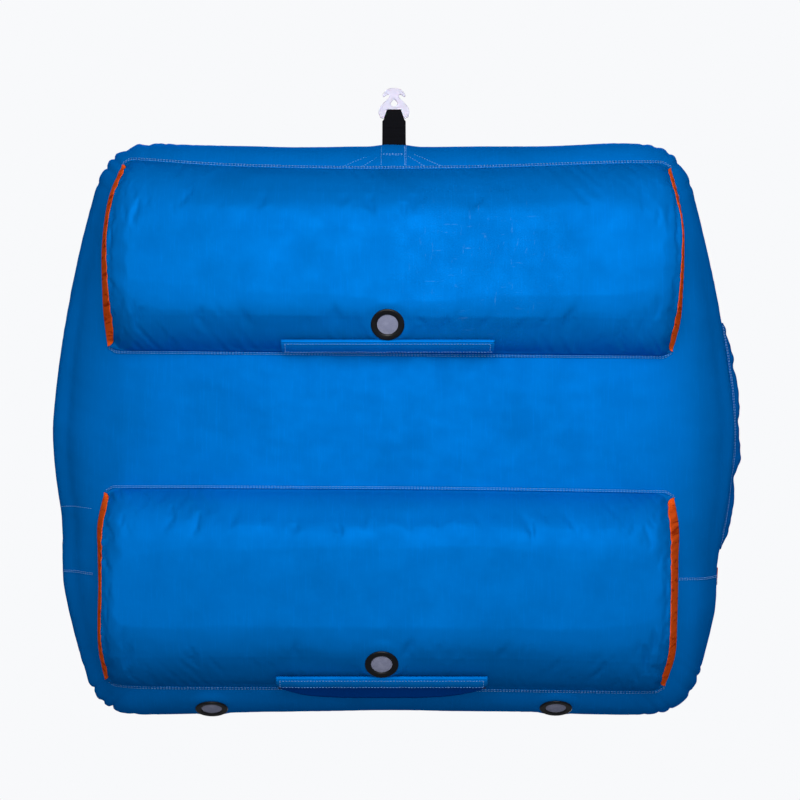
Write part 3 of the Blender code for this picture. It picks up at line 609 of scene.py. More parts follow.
def body_half(name, upper, replaced):
    """One fabric cover: lofted from the seam to the middle, with gathers where it is sewn."""
    ring, places = outline(960)
    start = SEAM_HEIGHT - EQUATOR
    if upper:
        share, height, down = side_profile(-start, 0.006)
        height = -height
    else:
        share, height, down = side_profile(start, 0.006)
    points = np.empty((len(share), len(ring), 3))
    points[..., 0] = share[:, None] * ring[None, :, 0]
    points[..., 1] = share[:, None] * ring[None, :, 1]
    points[..., 2] = (EQUATOR + height)[:, None]
    normal = grid_normals(points, wrap=True, flip=not upper)

    along = np.broadcast_to(places, points.shape[:2])
    depth = np.broadcast_to(down[:, None], points.shape[:2])
    corner = corner_weight(points[0])[None, :]
    lift = gathers(along, depth, corner)
    broad = smoothstep(0.0, 0.06, depth)
    lift += 0.0010 * ripples(points, 0.38, 3) * broad
    lift += 0.00013 * ripples(points * (1.0, 2.2, 1.0), 0.085, 5) * broad
    if not upper:
        lift += tow_creases(points) + facets(points)
    points = points + normal * lift[..., None]
    if not upper:
        for drain in ("left_body", "right_body"):
            points = flattened(points, drain)
    middle = points[-1].mean(axis=0)
    count = len(share) * len(ring)
    faces = grid_faces(len(share), len(ring), wrap=True, flip=not upper)
    last = count - len(ring)
    for j in range(len(ring)):
        k = (j + 1) % len(ring)
        faces.append((last + j, last + k, count) if upper else (last + k, last + j, count))
    everything = np.concatenate([points.reshape(-1, 3), middle[None]])
    obj = add_mesh(name, everything, faces, "deck_blue" if upper else "body_blue")
    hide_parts(replaced)
    return obj


def tow_creases(points):
    """Creases that fan out from the tow strap's sewn end, and the lip over its slot."""
    front = points[..., 1] < -0.3
    x = points[..., 0]
    y = points[..., 1] + HALF_LENGTH
    radius = np.hypot(x, np.maximum(y, 0.0)) + 0.010
    angle = np.arctan2(y + 0.006, x)
    fade = np.exp(-radius / 0.060) * front
    lift = 0.0020 * np.abs(np.sin(angle * 6.5 + 0.6)) ** 3 * fade * smoothstep(0.020, 0.035, radius)
    lip = 0.0048 * np.exp(-((x / 0.040) ** 4)) * np.exp(-((y / 0.016) ** 2)) * front
    return lift + lip


# ---------------------------------------------------------------- float pads


def through(values, share):
    """Smooth curve through evenly spaced values, from -1 to 1."""
    knots = np.linspace(-1, 1, len(values))
    path = smooth_path([(k, v, 0.0) for k, v in zip(knots, values)], 10)
    return np.interp(share, path[:, 0], path[:, 1])


def pad_edge(pad, b, side):
    """Where the cover turns down into the end panel."""
    shape = PADS[pad]
    inset = shape["insets"][0 if side < 0 else 1]
    foot = through(shape["left_end" if side < 0 else "right_end"], b)
    return foot - side * inset * np.sqrt(1 - np.minimum(np.abs(b), 1.0) ** 6)


def pad_plan(pad, a, b):
    """Plan position on a pad: a runs left to right and b front to rear, both -1 to 1."""
    shape = PADS[pad]
    left = pad_edge(pad, b, -1)
    right = pad_edge(pad, b, 1)
    x = left + (right - left) * (a + 1) / 2
    across = x / 0.575
    tuck = 0.0095 * smoothstep(0.955, 1.0, np.abs(a)) ** 2
    front = through(shape["front_seam"], across) + tuck
    rear = through(shape["rear_seam"], across) - tuck
    return x, front + (rear - front) * (b + 1) / 2


def pad_points(pad, a, b):
    """The pad's skin: crowned from seam to seam, slack beyond its bladder's ends and flat on the ground."""
    x, y = pad_plan(pad, a, b)
    rise = PAD_RISE * (1.0 - np.abs(b) ** PAD_ROUNDNESS) ** 0.6
    level = lower_skin(x, y) - lower_skin(0.70 * x, y)
    rise = rise + level * (1.0 - b * b) ** 0.8
    wave = 0.004 * np.sin(y * 2 * math.pi / 0.115 + 1.0) + 0.003 * np.sin(y * 2 * math.pi / 0.047)
    start, end = PADS[pad]["bladder"]
    slack = softened(start - x + wave, 0.0025) + softened(x - end + wave, 0.0025)
    rise = np.maximum(rise - 0.42 * slack, 0.30 * rise)
    z = lower_skin(x, y) - PAD_GAP - rise
    z = softened(z - 0.0010, 0.0075)
    return np.stack([x, y, z], -1)


def spread(count, power):
    """Parameters from -1 to 1, closer together at both ends the higher the power."""
    share = np.linspace(-1, 1, count)
    bent = np.sin(share * math.pi / 2)
    return bent * power + share * (1 - power)


def settled(points):
    """How a slightly loose cover sewn down all round moves when it is blown up, by cloth simulation."""
    coarse = points[::2, ::2]
    lines, columns = coarse.shape[:2]
    mesh = bpy.data.meshes.new("inflating")
    mesh.from_pydata(coarse.reshape(-1, 3).tolist(), [], grid_faces(lines, columns))
    obj = linked(bpy.data.objects.new("inflating", mesh))
    index = np.arange(lines * columns).reshape(lines, columns)
    rim = np.concatenate([index[0], index[-1], index[1:-1, 0], index[1:-1, -1]])
    obj.vertex_groups.new(name="sewn").add(rim.tolist(), 1.0, "REPLACE")
    cloth = obj.modifiers.new("cloth", "CLOTH")
    settings = cloth.settings
    settings.quality = 5
    settings.mass = 0.2
    settings.tension_stiffness = 18.0
    settings.compression_stiffness = 18.0
    settings.shear_stiffness = 6.0
    settings.bending_stiffness = 0.2
    settings.vertex_group_mass = "sewn"
    settings.shrink_min = -0.010
    settings.use_pressure = True
    down = mesh.polygons[len(mesh.polygons) // 2].normal.z < 0
    settings.uniform_pressure_force = 4.0 if down else -4.0
    settings.effector_weights.gravity = 0.0
    cloth.point_cache.frame_start = 1
    cloth.point_cache.frame_end = 20
    scene = bpy.context.scene
    for moment in range(1, 21):
        scene.frame_set(moment)
    result = obj.evaluated_get(bpy.context.evaluated_depsgraph_get()).to_mesh()
    moved = np.empty(len(result.vertices) * 3)
    result.vertices.foreach_get("co", moved)
    bpy.data.objects.remove(obj)
    scene.frame_set(1)
    move = moved.reshape(coarse.shape) - coarse
    length = np.linalg.norm(move, axis=-1, keepdims=True)
    move = move * np.minimum(1.0, 0.0045 / np.maximum(length, 1e-9))
    fine = np.zeros_like(points)
    fine[::2, ::2] = move
    fine[1::2, ::2] = (move[:-1] + move[1:]) / 2
    fine[:, 1::2] = (fine[:, :-1:2] + fine[:, 2::2]) / 2
    return fine


def build_float_bladder(pad):
    """Inner air bladder of a float pad, a little smaller than its cover."""
    a = np.linspace(-0.945, 0.945, 60)[:, None]
    b = np.linspace(-0.92, 0.92, 30)[None, :]
    a, b = np.broadcast_arrays(a, b)
    low = pad_points(pad, a, b)
    skin = lower_skin(low[..., 0], low[..., 1]) - PAD_GAP
    end = smoothstep(0.0, 0.06, 0.945 - np.abs(a)) * smoothstep(0.0, 0.10, 0.92 - np.abs(b))
    low[..., 2] = skin - 0.0010 - (skin - low[..., 2]) * 0.82 * (0.15 + 0.85 * end)
    high = low.copy()
    high[..., 2] = skin - 0.0008
    count = low.shape[0] * low.shape[1]
    faces = grid_faces(*low.shape[:2])
    faces += [[k + count for k in face] for face in grid_faces(*low.shape[:2], flip=True)]
    index = np.arange(count).reshape(low.shape[:2])
    rim = np.concatenate([index[:-1, 0], index[-1, :-1], index[:0:-1, -1], index[0, :0:-1]]).tolist()
    for k, m in zip(rim, rim[1:] + rim[:1]):
        faces.append([k, k + count, m + count, m])
    points = np.concatenate([low.reshape(-1, 3), high.reshape(-1, 3)])
    obj = face_out(add_mesh(pad + "_float_bladder", points, faces, "film"))
    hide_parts(pad + "_pad_bladder")


def build_pad(pad, seed):
    """A pad's cover: gathered along its seams, rippled, creased at its corners and settled as cloth."""
    a = spread(301, 0.35)[:, None]
    b = spread(131, 0.75)[None, :]
    a, b = np.broadcast_arrays(a, b)
    points = pad_points(pad, a, b)
    normal = aligned(grid_normals(points), 2, -1)

    along = points[..., 0]
    width = points[..., 1]
    side = np.abs(b)
    seam = np.exp(-(1 - side) / 0.10)
    lift = 0.0011 * puckers(along + 0.15 * np.sign(b) * (1 - side), seed) * seam
    lift *= smoothstep(0.0, 0.012, 1 - side)
    end = np.exp(-(1 - np.abs(a)) / 0.020)
    lift += 0.0014 * puckers(width + 0.4 * (1 - np.abs(a)), seed + 4, 0.012, 0.036) * end
    inner = smoothstep(0.0, 0.08, 1 - side) * smoothstep(0.0, 0.02, 1 - np.abs(a))
    lift += 0.0006 * ripples(points * (0.4, 1.4, 1.0), 0.160, seed + 1) * inner
    lift += 0.00008 * ripples(points * (1.0, 1.4, 1.0), 0.045, seed + 2) * inner
    lift += 0.0012 * np.exp(-(((b + 0.70) / 0.035) ** 2)) * inner
    lift += 0.0009 * np.exp(-(((b - 0.64) / 0.030) ** 2)) * inner
    corner = np.exp(-(1 - side) / 0.16) * np.exp(-(1 - np.abs(a)) / 0.05)
    diagonal = (1 - np.abs(a)) * 0.58 - (1 - side) * 0.20
    lift += 0.0018 * np.sin(diagonal * 2 * math.pi / 0.026 + seed) * corner
    points = points + normal * lift[..., None]
    points = points + settled(points)
    points = flattened(points, pad + "_pad")
    points[..., 2] = np.maximum(points[..., 2], 0.0004)
    obj = add_sheet(pad + "_float_pad", points, "pad_blue")
    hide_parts(pad + "_pad_cover")
    thicken(obj, 0.0008, -1.0)
    return points, b


def build_gussets(pad, points, b, seed):
    """Orange crescents between the pad's ends and the body, gathered along both seams."""
    for column, end, side in ((0, "left", -1), (-1, "right", 1)):
        edge = points[column]
        share = b[column]
        foot_x = through(PADS[pad][end + "_end"], share)
        foot_z = lower_skin(foot_x, edge[:, 1]) - 0.0015
        rows = []
        for i in range(15):
            t = i / 14
            x = edge[:, 0] + (foot_x - edge[:, 0]) * t
            z = edge[:, 2] + (foot_z - edge[:, 2]) * t
            fold = puckers(edge[:, 1] + 0.004 * t, seed + side, 0.008, 0.022)
            swell = math.sin(math.pi * t) ** 0.7
            x = x + side * (0.0014 * fold * swell + 0.0010 * math.sin(math.pi * t))
            rows.append(np.stack([x, edge[:, 1], z], -1))
        obj = add_sheet(f"{pad}_{end}_end_panel", rows, "end_panel", flip=side > 0)
        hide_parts(f"{pad}_pad_{end}_gusset")
        thicken(obj, 0.0008, -1.0)


# ---------------------------------------------------------------- stitching


def resample(path, spacing):
    """Evenly spaced points along a path."""
    path = np.asarray(path, float)
    steps = np.linalg.norm(np.diff(path, axis=0), axis=1)
    lengths = np.concatenate([[0.0], np.cumsum(steps)])
    places = np.arange(spacing / 2, lengths[-1], spacing)
    return np.stack([np.interp(places, lengths, path[:, k]) for k in range(3)], -1)


class Stitches:
    """Collects stitch rows and makes them one mesh of short rounded threads."""

    def __init__(self, name, body="tube", radius=0.00055, pitch=0.0062, length=0.0042):
        self.name = name
        self.body = body
        self.radius = radius
        self.pitch = pitch
        self.length = length
        self.points = []
        self.faces = []

    def row(self, path, normal, raise_by=0.0004):
        centres = resample(path, self.pitch)
        if len(centres) < 2:
            return
        along = np.gradient(centres, axis=0)
        along /= np.maximum(np.linalg.norm(along, axis=1, keepdims=True), 1e-9)
        normal = np.asarray(normal, float)
        if normal.ndim == 1:
            normal = np.broadcast_to(normal, centres.shape)
        else:
            steps = np.linspace(0, len(normal) - 1, len(centres))
            normal = np.stack([np.interp(steps, np.arange(len(normal)), normal[:, k]) for k in range(3)], -1)
        normal = normal / np.linalg.norm(normal, axis=1, keepdims=True)
        across = np.cross(along, normal)
        profile = ((-0.5, 0.35, -0.3), (-0.3, 1.0, 0.35), (0.3, 1.0, 0.35), (0.5, 0.35, -0.3))
        for c, t, n, s in zip(centres, along, normal, across):
            base = len(self.points)
            for share, fat, bulge in profile:
                for k in range(5):
                    angle = 2 * math.pi * k / 5
                    spot = c + t * (share * self.length) + n * (raise_by + bulge * self.radius)
                    spot = spot + (s * math.cos(angle) + n * math.sin(angle)) * self.radius * fat
                    self.points.append(spot)
            for i in range(3):
                for k in range(5):
                    m = (k + 1) % 5
                    ring = base + i * 5
                    self.faces.append((ring + k, ring + m, ring + 5 + m, ring + 5 + k))
            self.faces.append(tuple(base + k for k in range(4, -1, -1)))
            self.faces.append(tuple(base + 15 + k for k in range(5)))

    def build(self):
        return add_mesh(self.name, self.points, self.faces, "thread", self.body)


def on_lower_skin(x, y, raise_by):
    """Points set off from the body's underside, and the normals there."""
    x = np.asarray(x, float)
    y = np.broadcast_to(np.asarray(y, float), x.shape)
    z = lower_skin(x, y)
    step = 0.002
    slope_x = (lower_skin(x + step, y) - lower_skin(x - step, y)) / (2 * step)
    slope_y = (lower_skin(x, y + step) - lower_skin(x, y - step)) / (2 * step)
    normal = np.stack([slope_x, slope_y, -np.ones_like(x)], -1)
    normal /= np.linalg.norm(normal, axis=-1, keepdims=True)
    points = np.stack([x, y, z], -1)
    lift = raise_by + tow_creases(points) + facets(points)
    return points + normal * lift[..., None], normal


def build_pad_seams(pad, stitches):
    """Flat sewn flange along each pad, with two rows of stitches."""
    rim = np.linspace(-1.0, 1.0, 260)
    section = ((-0.0020, 0.0024), (0.0006, 0.0026), (0.0058, 0.0020), (0.0064, 0.0004))
    for side, end in ((-1, "front"), (1, "rear")):
        edge_x, edge_y = pad_plan(pad, rim, np.full_like(rim, float(side)))
        rows = [on_lower_skin(edge_x, edge_y + side * out, height)[0] for out, height in section]
        add_sheet(f"{pad}_seam_{end}", rows, "pad_blue", flip=side < 0)
        for out in (0.0012, 0.0046):
            stitches.row(*on_lower_skin(edge_x, edge_y + side * out, 0.0024))


def build_side_seams(stitches):
    """Stitched joins in the body's side panels, from the pads' ends to the edge."""
    for side, y, inner in ((-1, 0.297, 0.625), (-1, 0.163, 0.628), (1, 0.3065, 0.585)):
        reach = 0.992 * outline_radius(np.array(math.atan2(y, side * 0.70))) * math.cos(math.atan2(y, 0.70))
        x = side * np.linspace(inner, float(reach), 60)
        for step in ((0.0, 0.0034) if y > 0.2 else (0.0,)):
            stitches.row(*on_lower_skin(x, y + step + 0.0015 * np.sin(x * 40.0), 0.0008))


def build_tow_stitches(stitches):
    """Box of stitches that holds the tow webbing's tail, and four rows that fan out from it."""
    across = np.linspace(-0.0240, 0.0215, 30)
    for y in (-0.5730, -0.5705):
        stitches.row(*on_lower_skin(across, y, 0.0012))
    down = np.linspace(-0.5900, -0.5480, 24)
    for x in (-0.0262, 0.0222, 0.0252):
        stitches.row(*on_lower_skin(np.full_like(down, x), down, 0.0012))
    share = np.linspace(0.0, 1.0, 40)
    for near, far in (
        ((-0.0310, -0.5780), (-0.1070, -0.5430)), ((-0.0340, -0.5650), (-0.0660, -0.5430)),
        ((0.0280, -0.5690), (0.0655, -0.5430)), ((0.0415, -0.5720), (0.0977, -0.5450)),
    ):
        x = near[0] + (far[0] - near[0]) * share
        stitches.row(*on_lower_skin(x, near[1] + (far[1] - near[1]) * share, 0.0010))


# ---------------------------------------------------------------- turned and banded pieces


def turned(name, profile, spot, normal, material, body="tube", steps=64, closed=True):
    """Turns (radius, height) points about an axis; a closed profile joins its last point to its first."""
    turn = Vector((0.0, 0.0, 1.0)).rotation_difference(Vector(normal)).to_matrix()
    rows = []
    for i in range(steps):
        angle = 2 * math.pi * i / steps
        for radius, height in profile:
            local = Vector((radius * math.cos(angle), radius * math.sin(angle), height))
            rows.append(turn @ local + Vector(spot))
    size = len(profile)
    faces = []
    for i in range(steps):
        k = (i + 1) % steps
        for j in range(size if closed else size - 1):
            m = (j + 1) % size
            faces.append((i * size + j, i * size + m, k * size + m, k * size + j))
    return face_out(add_mesh(name, rows, faces, material, body), 0.000002)


def rounded(corners, radius, steps=3):
    """Rounds a closed profile's corners, by the same radius where there is room."""
    out = []
    count = len(corners)
    for i in range(count):
        here = Vector(corners[i])
        before = Vector(corners[i - 1])
        after = Vector(corners[(i + 1) % count])
        reach = min(radius, (before - here).length * 0.45, (after - here).length * 0.45)
        first = here + (before - here).normalized() * reach
        last = here + (after - here).normalized() * reach
        for k in range(steps + 1):
            t = k / steps
            out.append(tuple(first * (1 - t) ** 2 + here * 2 * t * (1 - t) + last * t * t))
    return out


def band(name, path, side, half_widths, thickness, material, body="tube", columns=7):
    """A flat strap along a path, with rounded edges."""
    path = np.asarray(path, float)
    side = np.asarray(side, float)
    if side.ndim == 1:
        side = np.broadcast_to(side, path.shape)
    along = np.gradient(path, axis=0)
    along /= np.linalg.norm(along, axis=1, keepdims=True)
    out = np.cross(along, side)
    out /= np.linalg.norm(out, axis=1, keepdims=True)
    half_widths = np.broadcast_to(np.asarray(half_widths, float), (len(path),))
    across = np.linspace(-1, 1, columns)
    thin = np.sqrt(np.maximum(1 - np.abs(across) ** 8, 0.0)) * thickness / 2
    loop = [(u, t) for u, t in zip(across, thin)] + [(u, -t) for u, t in zip(across[::-1], thin[::-1])][1:-1]
    points = []
    for c, s, n, w in zip(path, side, out, half_widths):
        for u, t in loop:
            points.append(c + s * u * w + n * t)
    size = len(loop)
    faces = grid_faces(len(path), size, wrap=True)
    faces.append(tuple(range(size)))
    faces.append(tuple(len(path) * size - 1 - k for k in range(size)))
    return face_out(add_mesh(name, points, faces, material, body))


def smooth_path(corners, count):
    """Catmull-Rom curve through corner points."""
    corners = np.asarray(corners, float)
    padded = np.vstack([2 * corners[0] - corners[1], corners, 2 * corners[-1] - corners[-2]])
    out = []
    for i in range(len(corners) - 1):
        p0, p1, p2, p3 = padded[i : i + 4]
        for t in np.linspace(0, 1, count, endpoint=False):
            square = (2 * p0 - 5 * p1 + 4 * p2 - p3) * t**2
            cube = (3 * p1 - p0 - 3 * p2 + p3) * t**3
            out.append(0.5 * (2 * p1 + (p2 - p0) * t + square + cube))
    out.append(corners[-1])
    return np.array(out)


# ---------------------------------------------------------------- fittings


COVER_RAISE = 0.0068
HANG_SLOPE = 1.1


def build_drain(name):
    """Black ring with a domed mesh screen."""
    spot, normal = drain_spot(name)
    prefix = name + "_drain"
    section = [
        (0.0338, -0.0004), (0.0338, 0.0020), (0.0318, 0.0034), (0.0236, 0.0030),
        (0.0210, 0.0012), (0.0210, -0.0040), (0.0230, -0.0040), (0.0230, -0.0004),
    ]
    obj = turned(prefix + "_rim", rounded(section, 0.0012), spot, normal, "black_plastic")
    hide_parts(prefix + "_ring")
    screen = [(0.0212 * share, 0.0002 + 0.0012 * (1 - share**2)) for share in np.arange(9) / 8]
    obj = turned(prefix + "_screen", screen, spot, normal, "mesh", closed=False)
    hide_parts(prefix + "_mesh")


def cover_place(pad, y, width):
    """Where a zip cover is sewn on: its first edge, the way up the pad's slope, and the slope's normal."""
    normal = surface_normal(lambda p, q: cad_pad_skin(pad, p, q), 0.0, y, True)
    slope = Vector((0.0, -normal.z, normal.y))
    foot = Vector((0.0, y, float(cad_pad_skin(pad, 0.0, y)))) - slope * (width / 2)
    return foot, slope, normal


def build_flap(pad, centre_x, half, y, gape, seed, width, hang=0.0):
    """Fabric strip over a pad's zip; where it hangs open, the strip stays put and its loose fold moves."""
    foot, slope, normal = cover_place(pad, y, width)
    root = foot + normal * COVER_RAISE
    along = np.linspace(-half, half, 150)
    rows = []
    for t in np.arange(13) / 12:
        wave = 0.0009 * puckers(along, seed, 0.030, 0.110) * t + 0.0003 * puckers(along, seed + 1) * (0.3 + t)
        reach = width * t
        ease = smoothstep(0.0, 0.06, 1 - np.abs(along) / half)
        spread_out = 0.0018 * math.sin(math.pi * t) + wave
        spot_y = slope.y * reach + normal.y * spread_out
        spot_z = slope.z * reach + normal.z * spread_out
        turned_y = spot_y * np.cos(gape * ease) - spot_z * np.sin(gape * ease)
        turned_z = spot_y * np.sin(gape * ease) + spot_z * np.cos(gape * ease)
        rows.append(np.stack([centre_x + along, root.y + turned_y, root.z + turned_z], -1))
    grid = np.array(rows)
    moving = pad + "_pad_flap"
    body = "tube" if hang else moving
    name = pad + ("_zip_band" if hang else "_zip_cover")
    cover = add_sheet(name, grid, "pad_blue", body, flip=True)
    thicken(cover)
    stitch_cover(name, grid, body)
    if hang:
        edge = grid[-1]
        taper = 1.0 - np.abs(along / half) ** 4
        rows = []
        for share in np.arange(9) / 8:
            out = 0.0006 + hang * share * taper
            rows.append(np.stack([edge[:, 0], edge[:, 1] + out, edge[:, 2] + 0.0062 + HANG_SLOPE * out], -1))
        # Painted shade: the fold's dark blue stands in for the shadow of the gap under the flap.
        cover = add_sheet(pad + "_zip_cover", rows, "fold_blue_painted_shade", moving, flip=True)
        thicken(cover)
    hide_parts(pad + "_pad_zip_flap")
    build_cover_root(pad, foot, slope, normal, centre_x + along)


def stitch_cover(name, grid, body):
    """A row of stitches just inside each edge of a zip cover."""
    stitches = Stitches(name + "_thread", body)
    normals = aligned(grid_normals(grid), 2, -1)
    for line in ((1, slice(2, -2)), (-2, slice(2, -2)), (slice(1, -1), 3), (slice(1, -1), -4)):
        stitches.row(grid[line], normals[line], 0.0008)
    stitches.build()


def build_cover_root(pad, foot, slope, normal, x):
    """The strip between the pad and the edge that its zip cover is sewn along."""
    rows = []
    for t in np.arange(7) / 6:
        spot = foot + slope * (-0.003 * (1 - t) - 0.0009) + normal * (0.0060 * t**0.6 + 0.0004)
        rows.append(np.stack([x, np.full_like(x, spot.y), np.full_like(x, spot.z)], -1))
    thicken(add_sheet(pad + "_zip_cover_root", rows, "pad_blue", flip=True))


def build_tow_strap():
    """Webbing loop from the slot in the cover round the connector's bar, bending at the body's edge."""
    half = [
        (-0.5900, 0.0016), (-0.6000, 0.0018), (-0.6140, 0.0028), (-0.6350, 0.0042), (-0.6560, 0.0058),
        (-0.6690, 0.0064), (-0.6780, 0.0046),
    ]
    corners = half + [(-0.6812, 0.0)] + [(y, -z) for y, z in half[::-1]]
    path = smooth_path([(0.0, y, EQUATOR + z) for y, z in corners], 8)
    widths = np.interp(path[:, 1], (-0.6812, -0.6610, -0.6560, -0.5900), (0.0150, 0.0214, 0.0250, 0.0254))
    obj = band("tow_webbing", path, (1.0, 0.0, 0.0), widths, WEBBING, "webbing", None, 15)
    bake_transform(obj)
    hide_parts("tow_strap")
    stitches = Stitches("tow_webbing_thread", None, 0.00045, 0.0048, 0.0032)
    for y, depth in ((-0.6250, 0.0048), (-0.6420, 0.0060)):
        x = np.linspace(-0.0215, 0.0215, 30)
        line = np.stack([x, np.full_like(x, y), np.full_like(x, EQUATOR - depth)], -1)
        stitches.row(line, (0.0, 0.0, -1.0), 0.0003)
    obj = stitches.build()
    obj.data.materials.clear()
    obj.data.materials.append(MATERIALS["webbing"])
    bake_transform(obj)


# The connector's right half, from the top of its hooked head round to its bar.
CONNECTOR_HALF = [
    (0.0000, 0.0541), (0.0102, 0.0527), (0.0180, 0.0480), (0.0232, 0.0410), (0.0242, 0.0368),
    (0.0214, 0.0354), (0.0165, 0.0392), (0.0120, 0.0400), (0.0102, 0.0350), (0.0180, 0.0265),
    (0.0278, 0.0165), (0.0328, 0.0040), (0.0314, -0.0050), (0.0268, -0.0100), (0.0215, -0.0104),
    (0.0192, -0.0064), (0.0172, -0.0034),
]


def build_connector():
    """Flat plastic link with a hooked head, a drop-shaped hole and a window for the webbing."""
    half = smooth_path([(x, y, 0.0) for x, y in CONNECTOR_HALF], 5)[:, :2]
    outer = [tuple(p) for p in half] + [(-x, y) for x, y in half[::-1][:-1]]
    window = rounded([(0.0160, 0.0034), (0.0160, 0.0080), (-0.0160, 0.0080), (-0.0160, 0.0034)], 0.0016)
    hole = []
    for turn in np.linspace(0, 2 * math.pi, 40)[:-1]:
        peak = 1.0 + 0.28 * max(math.sin(turn), 0.0) ** 8
        hole.append((0.0068 * math.cos(turn), 0.0207 + 0.0068 * peak * math.sin(turn)))
    curve = bpy.data.curves.new("tow_link", "CURVE")
    curve.dimensions = "2D"
    curve.fill_mode = "BOTH"
    curve.extrude = 0.0016
    curve.bevel_depth = 0.0009
    curve.bevel_resolution = 3
    curve.offset = -0.0009
    for loop in (outer, window, hole):
        spline = curve.splines.new("POLY")
        spline.points.add(len(loop) - 1)
        spline.use_cyclic_u = True
        for point, (x, y) in zip(spline.points, loop):
            point.co = (x, -y, 0.0, 1.0)
    blank = linked(bpy.data.objects.new("tow_link_blank", curve))
    bpy.context.view_layer.update()
    mesh = bpy.data.meshes.new_from_object(blank.evaluated_get(bpy.context.evaluated_depsgraph_get()))
    bpy.data.objects.remove(blank)
    mesh.name = "tow_link"
    mesh.materials.clear()
    mesh.materials.append(MATERIALS["clear"])
    mesh.transform(Matrix.Translation((0.0, TOW_BAR_Y + BODY_Y, EQUATOR)))
    obj = linked(bpy.data.objects.new("tow_link", mesh))
    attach(obj, "connector")
    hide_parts("tow_connector")


# ---------------------------------------------------------------- side zip and flap


def side_x(y, height):
    """How far out the body's right side is at a place along it and a height."""
    share = float(side_share(height - EQUATOR))
    return share * (HALF_WIDTH - SIDE_BOW * (np.abs(y) / share) ** 1.5)


# How far the side flap stands out along its length.
FLAP_SLACK = (
    (-0.2285, 0.000), (-0.216, 0.002), (-0.190, 0.005), (-0.154, 0.011), (-0.132, 0.007), (-0.103, 0.012),
    (-0.041, 0.011), (-0.015, 0.0065), (0.024, 0.010), (0.064, 0.0155), (0.088, 0.009), (0.107, 0.0045),
    (0.130, 0.0095), (0.160, 0.0125), (0.194, 0.0115), (0.220, 0.0105), (0.237, 0.006), (0.256, 0.000),
)


def build_side_flap():
    """Loose, gathered flap over the inflation zip, its lower edge tucked under the body's widest line."""
    along = np.linspace(-0.2260, 0.2560, 300)
    slack = smooth_path([(y, out, 0.0) for y, out in FLAP_SLACK], 8)
    out = np.interp(along, slack[:, 0], slack[:, 1]) + 0.0010 * puckers(along, 71, 0.012, 0.040)
    out = np.maximum(out, 0.0) + 0.0014
    spine = (
        (0.3180, 0.0040, 0.00), (0.3050, 0.0105, 0.10), (0.2880, 0.0150, 0.40), (0.2650, 0.0085, 0.80),
        (0.2470, 0.0046, 1.00), (0.2350, 0.0034, 0.85), (0.2265, 0.0014, 0.42), (0.2180, -0.0022, 0.04),
    )
    line = smooth_path(spine, 6)
    rows = []
    for i, (height, offset, share) in enumerate(line):
        t = i / (len(line) - 1)
        fold = 0.0022 * puckers(along + 0.05 * t, 73, 0.020, 0.060) * share
        lift = 0.0022 * puckers(along, 74, 0.012, 0.040) * share
        x = side_x(along, height) + offset + out * share + fold * 0.5
        rows.append(np.stack([x, along, height + lift], -1))
    grid = np.array(rows)
    # The flap's darker blue is painted shade of its creases.
    obj = add_sheet("side_opening_flap", grid, "flap_blue_painted_shade", None)
    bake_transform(obj)
    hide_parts("side_zip_flap")
    thicken(obj, 0.0009, 0.0)
    return grid


def build_zip_tab():
    """Orange and white fabric tab over the side zip's rear end."""
    for name, start, end, colour, slot in (
        ("side_zip_tab", 0.300, 0.3225, "orange", "trim_orange"),
        ("side_zip_tab_end", 0.3225, 0.338, "white", None),
    ):
        rows = []
        along = np.linspace(start, end, 14)
        for height in np.linspace(0.232, 0.292, 14):
            ring = outline_radius(np.arctan2(along, 0.70)) * float(side_share(height - EQUATOR))
            swell = 0.0032 + 0.0014 * math.sin(math.pi * (height - 0.232) / 0.060)
            direction = np.arctan2(along, 0.70)
            x = (ring + swell) * np.cos(direction)
            rows.append(np.stack([x, (ring + swell) * np.sin(direction), np.full_like(x, height)], -1))
        thicken(add_sheet(name, rows, colour))


def build_side_hem(grid):
    """Stitches along the side flap's two long edges."""
    normals = aligned(grid_normals(grid), 0, 1)
    stitches = Stitches("side_flap_thread", None, 0.00055, 0.0058, 0.0042)
    for row in (2, -2, -4):
        stitches.row(grid[row][3:-3], normals[row][3:-3], 0.0008)
    obj = stitches.build()
    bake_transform(obj)


# ---------------------------------------------------------------- deck


def draped(name, centre, half_x, half_y, corner, offset, thickness, columns, lines):
    """Foam panel that follows the deck, with rounded corners and a rolled edge."""
    u = spread(columns, 0.8)[None, :]
    v = spread(lines, 0.8)[:, None]
    y = half_y * v
    overrun = np.maximum(np.abs(y) - (half_y - corner), 0.0)
    reach = half_x - corner + np.sqrt(np.maximum(corner**2 - overrun**2, 0.0))
    reach = np.where(overrun > 0, reach, half_x)
    x = centre[0] + reach * u
    y = centre[1] + np.broadcast_to(y, x.shape)
    edge = np.minimum((1 - np.abs(u)) * half_x, (1 - np.abs(v)) * half_y)
    crown = thickness * np.minimum(1.0, np.sqrt(np.maximum(edge, 0.0) / 0.010))
    z = upper_skin(x, y) + offset + crown
    grid = np.stack([x, y, z], -1)
    return add_sheet(name, grid, "foam"), grid


